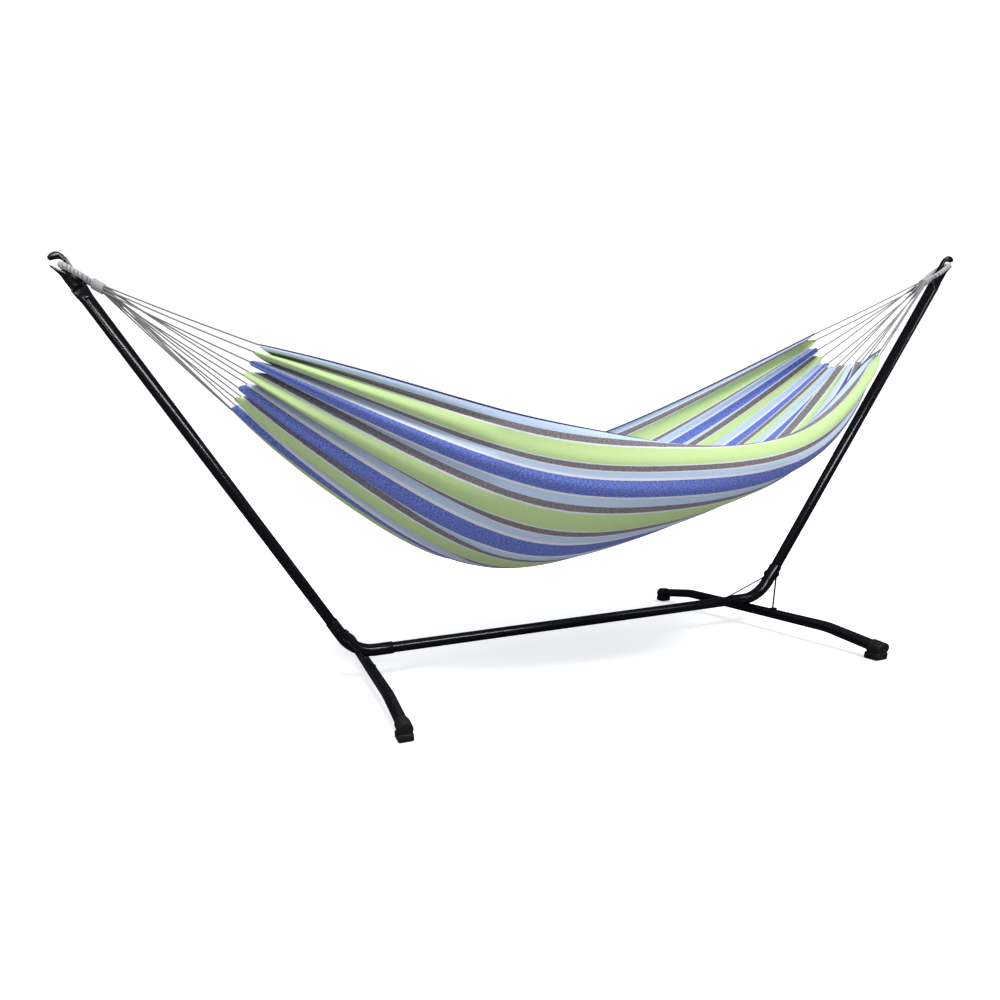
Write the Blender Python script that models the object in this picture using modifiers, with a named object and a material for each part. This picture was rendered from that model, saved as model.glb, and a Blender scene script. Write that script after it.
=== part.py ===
"""Fabric hammock hung from a free-standing tubular steel stand.

Metres, +Z up. X runs from hook to hook, Y across the stand, and the floor is z = 0.
"""

import math

import bmesh
import bpy
import numpy as np
from mathutils import Matrix, Vector

# Stand: overall layout
HOOK_HALF_SPAN = 1.32      # x of the place on each hook where the loop hangs
HOOK_SEAT_Z = 1.117        # height of that place
ELBOW_X = 0.726            # where an arm's axis meets the beam's
BEAM_Z = 0.093
FOOT_X = 0.692             # the foot bars cross under the elbows, a little inboard of the corner
FOOT_HALF_WIDTH = 0.470    # centre of a foot pad from the middle of the stand
# Stand: tubes
FIT_GAP = 0.0003           # between pieces that touch
TUBE_D = 0.0330            # beam, arms
SLEEVE_WALL = 0.0022       # the elbow's wall round the tube that it takes
ELBOW_D = TUBE_D + 2 * (FIT_GAP + SLEEVE_WALL)
FOOT_BAR_D = 0.0320
TUBE_WALL = 0.0015
BEND_RADIUS = 0.11
SLEEVE_LENGTH = 0.056      # straight part of the elbow that takes a tube
TUBE_ENTRY = 0.045         # how far a tube goes into the elbow
# Foot bars and pads
FOOT_BEND_Y = 0.300
FOOT_END_Z = 0.032         # axis height of a foot bar's end
PAD_BASE_LENGTH = 0.040
PAD_BASE_WIDTH = 0.040
PAD_BASE_HEIGHT = 0.022
PAD_WALL = 0.00345
PAD_SLEEVE_D = FOOT_BAR_D + 2 * (FIT_GAP + PAD_WALL)
PAD_SLEEVE_LENGTH = 0.038
PAD_END_T = 0.006
PAD_RIBS = 4
# Hooks: each arm's end is pressed flat and cut to an open hook
HOOK_PLATE_T = 0.008
HOOK_AXIS_OFFSET = 0.0015  # the arm's axis passes this far inside the loop's seat
HOOK_NOTCH_R = 0.0105
HOOK_FINGER_W = 0.013
HOOK_HEIGHT = 0.0295       # top of the finger above the seat, along the arm
HOOK_TIP_OUT = 0.0155
LIP_HEIGHT = 0.0115
LIP_OUT = 0.0215
FLAT_LENGTH = 0.055        # flat part below the seat
PRESS_LENGTH = 0.032       # from flat to round
SPIGOT_LENGTH = 0.025
PRESSED_W = 0.039          # the arm's width where it is pressed flat
# Braces
BRACE_D = 0.0055
BRACE_TOP_ALONG = 0.090    # from the elbow's corner up the arm
BRACE_FOOT_Y = 0.100
EYE_D = 0.022
EYE_T = 0.003
BOLT_HEAD_D = 0.012
# Loops and strings
ROPE_D = 0.015             # whipped rope of an end loop
EYE_HALF_WIDTH = 0.0185    # centre line of the rope from the loop's middle
EYE_LENGTH = 0.073
EYE_TAPER = 0.022          # the part in which the two legs come together
LOOP_DROP_DEG = 31.0
BINDING_D = 0.026
BINDING_LENGTH = 0.025
STRING_D = 0.0035
STRING_FAN_Y = 0.011       # the strings leave the binding spread this far to each side
STRING_FAN_Z = 0.007       # and staggered this far up and down
STRING_GAP = 0.0008        # from the binding
STRING_STOP = 0.0115       # short of the cloth's middle surface
# Bed: sections from the left end to the right end
BED_X = (-0.926, -0.64, -0.32, 0.0, 0.32, 0.64, 0.955)
BED_HALF_WIDTH = (0.150, 0.296, 0.412, 0.466, 0.490, 0.349, 0.118)
BED_BOTTOM_Z = (0.798, 0.497, 0.316, 0.350, 0.454, 0.611, 0.834)
BED_NEAR_Z = (0.905, 0.807, 0.684, 0.606, 0.609, 0.734, 0.846)
BED_FAR_Z = (0.882, 0.780, 0.694, 0.651, 0.677, 0.792, 0.950)
BED_WRAP_DEG = (75.0, 92.0, 101.0, 105.0, 101.0, 92.0, 75.0)
BED_NEAR_CURL = (0.0, 0.0, 0.010, 0.042, 0.058, 0.045, 0.010)   # cloth turned in past the near rim
BED_CURL_R = 0.030
# The strings pull the cloth's ends into lobes, at these shares of its width from the near rim
BED_LOBES = (0.0, 0.046, 0.100, 0.172, 0.256, 0.347, 0.450, 0.530, 0.610, 0.725, 0.825, 0.930, 1.0)
BED_LEFT_ARC = 0.075       # the rims' tips lean in by this much over the gathered end's bottom
BED_RIGHT_ARC = 0.010
BED_ARC_REACH = 0.12
BED_FULLNESS = 0.85        # under 1 makes the section boxier than an ellipse
BED_THICKNESS = 0.0045
BED_END_THICKNESS = 0.016  # the gathered ends are thicker than the open cloth
BED_STEPS_ALONG = 34
BED_STEPS_ACROSS = 30

ROUND = 28                 # sides of the large tubes


# ---------------------------------------------------------------- scene and materials

def clear_scene():
    for old in list(bpy.data.objects):
        bpy.data.objects.remove(old, do_unlink=True)
    for old in list(bpy.data.collections):
        bpy.data.collections.remove(old)


def collection(name, helper=False):
    made = bpy.data.collections.new(name)
    bpy.context.scene.collection.children.link(made)
    made.hide_render = helper
    return made


def material(name, colour, metallic, roughness):
    made = bpy.data.materials.new(name)
    made.use_nodes = True
    shader = made.node_tree.nodes["Principled BSDF"]
    shader.inputs["Base Color"].default_value = (*colour, 1.0)
    shader.inputs["Metallic"].default_value = metallic
    shader.inputs["Roughness"].default_value = roughness
    return made


def put(obj, where, mat=None):
    for old in list(obj.users_collection):
        old.objects.unlink(obj)
    where.objects.link(obj)
    if mat is not None:
        obj.data.materials.clear()
        obj.data.materials.append(mat)
    return obj


# ---------------------------------------------------------------- shape helpers

def from_bmesh(name, shape, where, mat):
    mesh = bpy.data.meshes.new(name)
    bmesh.ops.recalc_face_normals(shape, faces=shape.faces)
    shape.to_mesh(mesh)
    shape.free()
    obj = bpy.data.objects.new(name, mesh)
    where.objects.link(obj)
    if mat is not None:
        mesh.materials.append(mat)
    return obj


def curve_object(name, points, diameter, where, sides, caps=True):
    """A round rod or an open tube skin along a polyline."""
    data = bpy.data.curves.new(name, "CURVE")
    data.dimensions = "3D"
    data.bevel_depth = diameter / 2
    data.bevel_resolution = max(0, sides // 4 - 1)
    data.use_fill_caps = caps
    line = data.splines.new("POLY")
    line.points.add(len(points) - 1)
    for slot, point in zip(line.points, points):
        slot.co = (*point, 1.0)
    obj = bpy.data.objects.new(name, data)
    where.objects.link(obj)
    return obj


def to_mesh_object(obj, name, where, mat):
    """The curve's shape as a mesh object, its seam points welded."""
    bpy.context.view_layer.update()
    graph = bpy.context.evaluated_depsgraph_get()
    mesh = bpy.data.meshes.new_from_object(obj.evaluated_get(graph))
    bpy.data.objects.remove(obj, do_unlink=True)
    shape = bmesh.new()
    shape.from_mesh(mesh)
    bmesh.ops.remove_doubles(shape, verts=shape.verts, dist=0.00001)
    bpy.data.meshes.remove(mesh)
    return from_bmesh(name, shape, where, mat)


def rod(name, points, diameter, where, mat, sides=12):
    return to_mesh_object(
        curve_object(name + "_line", points, diameter, where, sides), name, where, mat
    )


def tube(name, points, diameter, wall, where, mat, sides=ROUND):
    """An open-ended pipe along a polyline."""
    skin = to_mesh_object(
        curve_object(name + "_line", points, diameter, where, sides, caps=False), name, where, mat
    )
    solidify = skin.modifiers.new("wall", "SOLIDIFY")
    solidify.thickness = wall
    solidify.offset = -1.0
    solidify.use_even_offset = True
    return skin


def arc_corner(before, corner, after, radius, steps):
    """Points of the rounded corner between two straight lines."""
    a = (before - corner).normalized()
    b = (after - corner).normalized()
    half = a.angle(b) / 2
    reach = radius / math.tan(half)
    centre = corner + (a + b).normalized() * (radius / math.sin(half))
    start = corner + a * reach - centre
    end = corner + b * reach - centre
    sweep = start.angle(end)
    made = []
    for i in range(steps + 1):
        t = i / steps
        made.append(
            centre + (start * math.sin((1 - t) * sweep) + end * math.sin(t * sweep)) / math.sin(sweep)
        )
    return made


def cylinder(name, start, end, diameter, where, mat, sides=12):
    """A solid round bar between two points."""
    axis = end - start
    shape = bmesh.new()
    bmesh.ops.create_cone(
        shape, cap_ends=True, segments=sides, radius1=diameter / 2, radius2=diameter / 2,
        depth=axis.length,
    )
    turn = axis.to_track_quat("Z", "Y").to_matrix().to_4x4()
    bmesh.ops.transform(
        shape, matrix=Matrix.Translation((start + end) / 2) @ turn, verts=shape.verts
    )
    return from_bmesh(name, shape, where, mat)


def block(name, centre, size, where, mat):
    shape = bmesh.new()
    bmesh.ops.create_cube(shape, size=1.0)
    bmesh.ops.scale(shape, vec=size, verts=shape.verts)
    bmesh.ops.translate(shape, vec=centre, verts=shape.verts)
    return from_bmesh(name, shape, where, mat)


def combine(obj, other, operation, crossing=False):
    """Joins or cuts with another mesh object, which is kept as a hidden cutter."""
    step = obj.modifiers.new(operation.lower() + str(len(obj.modifiers)), "BOOLEAN")
    step.operation = operation
    step.solver = "EXACT"
    step.use_self = crossing
    step.object = other
    put(other, HELPERS)
    other.hide_render = True
    other.display_type = "WIRE"


def bake(obj):
    """Replaces the object's mesh by its evaluated one, so that it can be mirrored."""
    bpy.context.view_layer.update()
    graph = bpy.context.evaluated_depsgraph_get()
    mesh = bpy.data.meshes.new_from_object(obj.evaluated_get(graph))
    obj.modifiers.clear()
    old = obj.data
    obj.data = mesh
    bpy.data.meshes.remove(old)
    return obj


def mirrored(obj, name, axis, where):
    """A copy on the other side of the stand, with its faces still pointing out."""
    shape = bmesh.new()
    shape.from_mesh(obj.data)
    scale = [1.0, 1.0, 1.0]
    scale[axis] = -1.0
    bmesh.ops.scale(shape, vec=scale, verts=shape.verts)
    bmesh.ops.reverse_faces(shape, faces=shape.faces)
    mesh = bpy.data.meshes.new(name)
    shape.to_mesh(mesh)
    shape.free()
    for mat in obj.data.materials:
        if mat.name not in mesh.materials:
            mesh.materials.append(mat)
    made = bpy.data.objects.new(name, mesh)
    where.objects.link(made)
    return made


# ---------------------------------------------------------------- stand

def arm_frame():
    """The right arm's corner, its direction, and the direction square to it, inward."""
    corner = Vector((ELBOW_X, 0, BEAM_Z))
    seat = Vector((HOOK_HALF_SPAN, 0, HOOK_SEAT_Z))
    along = (seat - corner).normalized()
    for _ in range(4):
        inward = Vector((-along.z, 0, along.x))
        along = (seat + inward * HOOK_AXIS_OFFSET - corner).normalized()
    return corner, along, Vector((-along.z, 0, along.x))


def hook_outline():
    """The hook's flat shape as (along the arm, inward), measured from the seat."""
    mid = HOOK_AXIS_OFFSET
    wide = PRESSED_W / 2
    top = HOOK_HEIGHT
    tip = HOOK_TIP_OUT
    width = HOOK_FINGER_W
    outline = [
        (-FLAT_LENGTH - 0.012, mid - wide * 0.72), (-FLAT_LENGTH, mid - wide * 0.90),
        (-0.030, -0.0160), (-0.016, -0.0155), (-0.004, 0.0035 - LIP_OUT),
        (LIP_HEIGHT - 0.001, -LIP_OUT - 0.001), (LIP_HEIGHT, 0.0015 - LIP_OUT),
    ]
    for i in range(9):
        angle = math.radians(-100 - 20 * i)
        outline.append((HOOK_NOTCH_R * math.cos(angle), HOOK_NOTCH_R * math.sin(angle)))
    outline += [
        (0.22 * top, 0.0095), (0.37 * top, 0.0068), (0.49 * top, 0.0020),
        (0.58 * top, -0.0045), (0.63 * top, 0.0055 - tip), (0.68 * top, 0.0015 - tip),
        (0.79 * top, -tip), (0.91 * top, 0.0015 - tip), (0.985 * top, 0.0075 - tip),
        (top, -0.0010), (0.94 * top, width - 0.0060), (0.79 * top, width + 0.0010),
        (0.49 * top, width + 0.0060), (0.16 * top, width + 0.0082),
        (-0.010, width + 0.0075), (-0.030, width + 0.0065),
        (-FLAT_LENGTH, mid + wide * 0.90), (-FLAT_LENGTH - 0.012, mid + wide * 0.72),
    ]
    return outline


def build_hook(name, where, mat):
    """The arm's end pressed from round to flat, with a spigot below and an open hook above."""
    corner, along, inward = arm_frame()
    seat = Vector((HOOK_HALF_SPAN, 0, HOOK_SEAT_Z))
    shape = bmesh.new()
    near = [
        shape.verts.new(seat + along * s + inward * t - Vector((0, HOOK_PLATE_T / 2, 0)))
        for s, t in hook_outline()
    ]
    face = shape.faces.new(near)
    grown = bmesh.ops.extrude_face_region(shape, geom=[face])
    moved = [v for v in grown["geom"] if isinstance(v, bmesh.types.BMVert)]
    bmesh.ops.translate(shape, vec=(0, HOOK_PLATE_T, 0), verts=moved)
    plate = from_bmesh(name, shape, where, mat)
    edge = plate.modifiers.new("round", "BEVEL")
    edge.width = 0.0012
    edge.segments = 2
    edge.limit_method = "ANGLE"
    edge.angle_limit = math.radians(60)
    bake(plate)
    # Rings from the flat part down to the spigot: distance, half width, half depth, squareness
    round_r = TUBE_D / 2
    spigot_r = (round_r - TUBE_WALL) * math.cos(math.pi / 14) - FIT_GAP
    bottom = -FLAT_LENGTH - PRESS_LENGTH
    rings = [(-FLAT_LENGTH + 0.004, PRESSED_W / 2, HOOK_PLATE_T / 2 + 0.0004, 5.0)]
    for i in range(1, 6):
        t = i / 5
        ease = t * t * (3 - 2 * t)
        rings.append((
            -FLAT_LENGTH - PRESS_LENGTH * t,
            PRESSED_W / 2 + (round_r - PRESSED_W / 2) * ease,
            HOOK_PLATE_T / 2 + 0.0004 + (round_r - HOOK_PLATE_T / 2 - 0.0004) * ease,
            5.0 - 3.0 * ease,
        ))
    rings.append((bottom, spigot_r, spigot_r, 2.0))
    rings.append((bottom - SPIGOT_LENGTH, spigot_r, spigot_r, 2.0))
    shape = bmesh.new()
    loops = []
    for s, half_w, half_d, power in rings:
        centre = seat + along * s + inward * HOOK_AXIS_OFFSET
        loop = []
        for i in range(ROUND):
            angle = 2 * math.pi * i / ROUND
            c, d = math.cos(angle), math.sin(angle)
            a = math.copysign(abs(c) ** (2 / power), c) * half_w
            b = math.copysign(abs(d) ** (2 / power), d) * half_d
            loop.append(shape.verts.new(centre + inward * a + Vector((0, b, 0))))
        loops.append(loop)
    shape.faces.new(loops[0])
    shape.faces.new(list(reversed(loops[-1])))
    for low, high in zip(loops, loops[1:]):
        for i in range(ROUND):
            j = (i + 1) % ROUND
            shape.faces.new((low[i], low[j], high[j], high[i]))
    pressed = from_bmesh(name + "_pressed", shape, where, mat)
    combine(plate, pressed, "UNION")
    return bake(plate)


def build_stand(where, steel, plastic, zinc):
    corner, along, inward = arm_frame()
    seat = Vector((HOOK_HALF_SPAN, 0, HOOK_SEAT_Z))
    seat_along = (seat - corner).dot(along)
    turn = math.acos(along.x)
    tangent = BEND_RADIUS * math.tan(turn / 2)
    leg = tangent + SLEEVE_LENGTH

    # Elbows
    inner = Vector((ELBOW_X - leg, 0, BEAM_Z))
    upper = corner + along * leg
    bend = arc_corner(inner, corner, upper, BEND_RADIUS, 8)
    elbow = tube(
        "elbow_right", [inner, *bend, upper], ELBOW_D,
        SLEEVE_WALL, where, steel,
    )
    bake(elbow)
    mirrored(elbow, "elbow_left", 0, where)

    # Beam
    entry = leg - TUBE_ENTRY
    beam_end = ELBOW_X - entry
    tube(
        "beam", [Vector((-beam_end, 0, BEAM_Z)), Vector((beam_end, 0, BEAM_Z))],
        TUBE_D, TUBE_WALL, where, steel,
    )

    # Arms, each with its pressed hook end plugged in
    arm_top = corner + along * (seat_along - FLAT_LENGTH - PRESS_LENGTH - FIT_GAP)
    arm = tube(
        "arm_right", [corner + along * entry, arm_top], TUBE_D, TUBE_WALL, where, steel
    )
    bake(arm)
    mirrored(arm, "arm_left", 0, where)
    hook = build_hook("hook_right", where, steel)
    mirrored(hook, "hook_left", 0, where)

    # Foot bars: under the elbow, level to a bend, then down to the pads
    bar_z = BEAM_Z - ELBOW_D / 2 - FOOT_BAR_D / 2 - FIT_GAP
    path = [Vector((FOOT_X, -FOOT_HALF_WIDTH, FOOT_END_Z))]
    level = Vector((FOOT_X, -FOOT_BEND_Y, bar_z))
    path += arc_corner(path[0], level, Vector((FOOT_X, 0, bar_z)), 0.25, 4)
    path += [Vector((p.x, -p.y, p.z)) for p in reversed(path)]
    bar = tube("foot_bar_right", path, FOOT_BAR_D, TUBE_WALL, where, steel, sides=24)
    bake(bar)
    mirrored(bar, "foot_bar_left", 0, where)

    # Pads: a closed sleeve on the bar's end, standing on a ribbed base
    bar_end = path[0]
    out = (path[0] - level).normalized()
    base_y = -FOOT_HALF_WIDTH - PAD_END_T + PAD_BASE_LENGTH / 2
    pad = block(
        "pad_right_near", Vector((FOOT_X, base_y, PAD_BASE_HEIGHT / 2)),
        Vector((PAD_BASE_WIDTH, PAD_BASE_LENGTH, PAD_BASE_HEIGHT)), where, plastic,
    )
    edge = pad.modifiers.new("round", "BEVEL")
    edge.width = 0.005
    edge.segments = 2
    edge.limit_method = "ANGLE"
    bake(pad)
    sleeve = cylinder(
        "pad_sleeve", bar_end + out * PAD_END_T, bar_end + out * (PAD_END_T - PAD_SLEEVE_LENGTH),
        PAD_SLEEVE_D, where, plastic, sides=20,
    )
    edge = sleeve.modifiers.new("round", "BEVEL")
    edge.width = 0.003
    edge.segments = 2
    edge.limit_method = "ANGLE"
    edge.angle_limit = math.radians(60)
    bake(sleeve)
    combine(pad, sleeve, "UNION")
    socket = cylinder(
        "pad_socket", bar_end + out * FIT_GAP, bar_end - out * (PAD_SLEEVE_LENGTH * 2),
        FOOT_BAR_D + 2 * FIT_GAP, where, plastic, sides=24,
    )
    combine(pad, socket, "DIFFERENCE")
    rib = PAD_BASE_LENGTH / (2 * PAD_RIBS + 1)
    for i in range(PAD_RIBS):
        y = base_y - PAD_BASE_LENGTH / 2 + rib * (2 * i + 1.5)
        slot = block(
            "pad_groove_%d" % i, Vector((FOOT_X, y, 0)),
            Vector((PAD_BASE_WIDTH * 1.2, rib, 0.006)), where, plastic,
        )
        combine(pad, slot, "DIFFERENCE")
    bake(pad)
    far = mirrored(pad, "pad_right_far", 1, where)
    mirrored(pad, "pad_left_near", 0, where)
    mirrored(far, "pad_left_far", 0, where)

    # Braces: an eye against the elbow's side, a rod, and an eye on top of the foot bar
    pin = corner + along * BRACE_TOP_ALONG
    top_y = -(ELBOW_D / 2 + FIT_GAP + EYE_T / 2)
    top = Vector((pin.x, top_y, pin.z))
    foot = Vector((FOOT_X, -BRACE_FOOT_Y, bar_z + FOOT_BAR_D / 2 + FIT_GAP + EYE_T / 2))
    brace = cylinder(
        "brace_right_near", top - Vector((0, EYE_T / 2, 0)), top + Vector((0, EYE_T / 2, 0)),
        EYE_D, where, steel, sides=16,
    )
    low_eye = cylinder(
        "brace_low_eye", foot - Vector((0, 0, EYE_T / 2)), foot + Vector((0, 0, EYE_T / 2)),
        EYE_D, where, steel, sides=16,
    )
    middle = rod(
        "brace_rod",
        [top + Vector((-0.002, -0.0015, -0.0092)), top + Vector((-0.003, -0.0030, -0.0130)),
         foot + Vector((0, 0.003, 0.006)), foot + Vector((0, 0.001, 0.0015))],
        BRACE_D, where, steel, sides=8,
    )
    combine(brace, middle, "UNION")
    combine(brace, low_eye, "UNION")
    bake(brace)
    far = mirrored(brace, "brace_right_far", 1, where)
    mirrored(brace, "brace_left_near", 0, where)
    mirrored(far, "brace_left_far", 0, where)

    # Bolt heads and nuts over the brace eyes
    head_y = top_y - EYE_T / 2 - FIT_GAP
    head = cylinder(
        "bolt_right_near", Vector((pin.x, head_y, pin.z)),
        Vector((pin.x, head_y - 0.005, pin.z)), BOLT_HEAD_D, where, zinc, sides=6,
    )
    far = mirrored(head, "bolt_right_far", 1, where)
    mirrored(head, "bolt_left_near", 0, where)
    mirrored(far, "bolt_left_far", 0, where)


# ---------------------------------------------------------------- hammock

def natural_spline(xs, ys, at):
    """Natural cubic spline through the sections."""
    xs = np.asarray(xs, float)
    ys = np.asarray(ys, float)
    n = len(xs)
    h = np.diff(xs)
    grid = np.eye(n)
    right = np.zeros(n)
    for i in range(1, n - 1):
        grid[i, i - 1] = h[i - 1]
        grid[i, i] = 2 * (h[i - 1] + h[i])
        grid[i, i + 1] = h[i]
        right[i] = 6 * ((ys[i + 1] - ys[i]) / h[i] - (ys[i] - ys[i - 1]) / h[i - 1])
    second = np.linalg.solve(grid, right)
    k = np.clip(np.searchsorted(xs, at) - 1, 0, n - 2)
    a = (xs[k + 1] - at) / h[k]
    b = (at - xs[k]) / h[k]
    return (
        a * ys[k] + b * ys[k + 1]
        + ((a**3 - a) * second[k] + (b**3 - b) * second[k + 1]) * h[k] ** 2 / 6
    )


def bed_point(u, v):
    """A point of the cloth: u from the left end to the right, v from the near rim to the far."""
    stations = np.linspace(0, 1, len(BED_X))
    half = natural_spline(stations, BED_HALF_WIDTH, u)
    low = natural_spline(stations, BED_BOTTOM_Z, u)
    near = natural_spline(stations, BED_NEAR_Z, u)
    far = natural_spline(stations, BED_FAR_Z, u)
    wrap = np.radians(natural_spline(stations, BED_WRAP_DEG, u))
    x = natural_spline(stations, BED_X, u)
    angle = v * wrap
    y = half * np.sign(angle) * np.abs(np.sin(angle)) ** BED_FULLNESS
    rise = (1 - np.cos(angle)) / (1 - np.cos(wrap))
    rim = np.where(v < 0, near, far)
    z = low + (rim - low) * rise
    x = x + BED_LEFT_ARC * np.exp(-((u / BED_ARC_REACH) ** 2)) * (rise - 0.5)
    x = x - BED_RIGHT_ARC * np.exp(-(((1 - u) / BED_ARC_REACH) ** 2)) * (rise - 0.5)
    return np.array([x, y, z])


def bed_row(u, shares):
    """Points across the cloth at u, at these shares of its width from the near rim."""
    fine = np.linspace(-1, 1, 241)
    wall = np.array([bed_point(u, v) for v in fine])
    run = np.concatenate([[0], np.cumsum(np.linalg.norm(np.diff(wall, axis=0), axis=1))])
    curl = max(0.0, natural_spline(np.linspace(0, 1, len(BED_X)), BED_NEAR_CURL, u))
    place = np.asarray(shares) * (curl + run[-1]) - curl
    row = np.stack([np.interp(place, run, wall[:, k]) for k in range(3)], axis=1)
    # The part before the wall's start turns inward on a small radius
    up = (wall[0] - wall[1]) / np.linalg.norm(wall[0] - wall[1])
    inward = np.array([0.0, 1.0, 0.0]) - up[1] * up
    inward /= np.linalg.norm(inward)
    turn = np.clip(-place, 0, None)[:, None] / BED_CURL_R
    return row + BED_CURL_R * (np.sin(turn) * up + (1 - np.cos(turn)) * inward)


def build_bed(where, cloth):
    us = np.linspace(0, 1, BED_STEPS_ALONG + 1)
    shares = np.linspace(0, 1, BED_STEPS_ACROSS + 1)
    middle = np.array([bed_row(u, shares) for u in us])
    normal = np.cross(np.gradient(middle, axis=0), np.gradient(middle, axis=1))
    normal /= np.linalg.norm(normal, axis=2, keepdims=True)
    end = np.exp(-((np.minimum(us, 1 - us) / 0.07) ** 2))[:, None]
    thick = BED_THICKNESS + (BED_END_THICKNESS - BED_THICKNESS) * end
    thick = thick * (1.0 - 0.75 * end * np.abs(2 * shares - 1) ** 6)
    shape = bmesh.new()
    top, under = (
        [[shape.verts.new(p) for p in row] for row in middle + normal * side * thick[:, :, None] / 2]
        for side in (1, -1)
    )
    m, n = len(us), len(shares)
    for i in range(m - 1):
        for j in range(n - 1):
            shape.faces.new((top[i][j], top[i + 1][j], top[i + 1][j + 1], top[i][j + 1]))
            shape.faces.new((under[i][j], under[i][j + 1], under[i + 1][j + 1], under[i + 1][j]))
    border = [(i, 0) for i in range(m)]
    border += [(m - 1, j) for j in range(1, n)]
    border += [(i, n - 1) for i in range(m - 2, -1, -1)]
    border += [(0, j) for j in range(n - 2, 0, -1)]
    for (a, b), (c, d) in zip(border, border[1:] + border[:1]):
        shape.faces.new((top[a][b], under[a][b], under[c][d], top[c][d]))
    return from_bmesh("bed", shape, where, cloth)


def loop_frame(side):
    """The seat, the direction in which the loop is pulled, and the direction square to it."""
    drop = math.radians(LOOP_DROP_DEG)
    seat = Vector((side * HOOK_HALF_SPAN, 0, HOOK_SEAT_Z))
    pull = Vector((-side * math.cos(drop), 0, -math.sin(drop)))
    up = Vector((-side * math.sin(drop), 0, math.cos(drop)))
    return seat, pull, up


def build_end(side, where, rope, twine):
    word = "right" if side > 0 else "left"
    seat, pull, up = loop_frame(side)
    across = Vector((0, 1, 0))
    # Rope loop: its bight in the hook's notch, its two legs meeting in the binding
    centre = seat + pull * EYE_HALF_WIDTH
    points = []
    for i in range(13):
        angle = math.pi * (i / 12 - 0.5)
        points.append(
            centre - pull * (EYE_HALF_WIDTH * math.cos(angle))
            + across * (EYE_HALF_WIDTH * math.sin(angle))
        )
    joined = seat + pull * EYE_LENGTH
    gap = ROPE_D * 0.36
    straight = EYE_LENGTH - EYE_TAPER
    for part in (1, -1):
        legs = [
            seat + pull * straight + across * (part * EYE_HALF_WIDTH),
            seat + pull * (straight + EYE_TAPER * 0.30) + across * (part * EYE_HALF_WIDTH * 0.86),
            seat + pull * (straight + EYE_TAPER * 0.62) + across * (part * EYE_HALF_WIDTH * 0.52),
            joined - pull * 0.004 + across * (part * gap),
            joined + across * (part * gap),
        ]
        points = points + legs if part > 0 else list(reversed(legs)) + points
    loop = rod("loop_" + word, points, ROPE_D, where, rope, sides=12)
    plug = cylinder(
        "loop_root", joined - pull * 0.010, joined, ROPE_D * 1.35, where, rope, sides=12
    )
    combine(loop, plug, "UNION", crossing=True)
    bake(loop)
    # Binding
    start = joined + pull * FIT_GAP
    end = start + pull * BINDING_LENGTH
    cylinder("binding_" + word, start, end, BINDING_D, where, rope, sides=16)
    # Strings, from the binding's end to the cloth's lobes
    last = len(BED_LOBES) - 1
    for i, place in enumerate(bed_row(1.0 if side > 0 else 0.0, BED_LOBES)):
        place = Vector(place)
        share = 2 * i / last - 1
        stagger = (1, 0, -1)[i % 3] * (1 - 0.25 * share * share)
        spread = across * (STRING_FAN_Y * share) + up * (STRING_FAN_Z * stagger)
        begin = end + pull * STRING_GAP + spread
        run = (place - begin).normalized()
        rod(
            "string_%s_%02d" % (word, i + 1),
            [begin + run * STRING_GAP, place - run * STRING_STOP], STRING_D, where, twine, sides=8,
        )


def main():
    global HELPERS
    clear_scene()
    body = collection("hammock_on_stand")
    HELPERS = collection("cutters", helper=True)
    steel = material("black_steel", (0.012, 0.012, 0.015), 0.3, 0.25)
    plastic = material("black_plastic", (0.012, 0.012, 0.012), 0.0, 0.5)
    zinc = material("black_zinc", (0.03, 0.03, 0.03), 0.8, 0.35)
    cloth = material("striped_cloth", (0.35, 0.5, 0.85), 0.0, 0.85)
    rope = material("grey_rope", (0.45, 0.44, 0.45), 0.0, 0.85)
    twine = material("grey_twine", (0.55, 0.53, 0.55), 0.0, 0.85)
    build_stand(body, steel, plastic, zinc)
    build_bed(body, cloth)
    for side in (-1, 1):
        build_end(side, body, rope, twine)


main()
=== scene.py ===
import math

import bmesh
import bpy
import numpy as np
from bpy.props import FloatProperty, FloatVectorProperty, IntProperty, PointerProperty
from mathutils import Matrix, Vector


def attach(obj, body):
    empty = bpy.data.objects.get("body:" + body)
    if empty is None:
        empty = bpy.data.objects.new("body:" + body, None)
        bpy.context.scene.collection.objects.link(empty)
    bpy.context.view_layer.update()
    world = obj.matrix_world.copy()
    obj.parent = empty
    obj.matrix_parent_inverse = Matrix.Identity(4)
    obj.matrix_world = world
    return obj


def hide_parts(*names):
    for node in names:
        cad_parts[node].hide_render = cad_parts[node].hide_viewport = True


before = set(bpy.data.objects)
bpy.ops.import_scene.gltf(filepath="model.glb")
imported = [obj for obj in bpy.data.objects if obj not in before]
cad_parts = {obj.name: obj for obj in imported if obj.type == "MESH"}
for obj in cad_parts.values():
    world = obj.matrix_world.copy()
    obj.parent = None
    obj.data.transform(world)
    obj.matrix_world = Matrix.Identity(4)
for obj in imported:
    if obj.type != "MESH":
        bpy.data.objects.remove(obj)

bl_info = {
    "name": "Fabric hammock on a steel stand",
    "version": (1, 0, 0),
    "blender": (4, 5, 0),
    "location": "View3D > Sidebar > Hammock",
    "description": "Models a striped fabric hammock and its tubular stand around their frame",
    "category": "Object",
}

SIDES = (("left", -1), ("right", 1))

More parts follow.
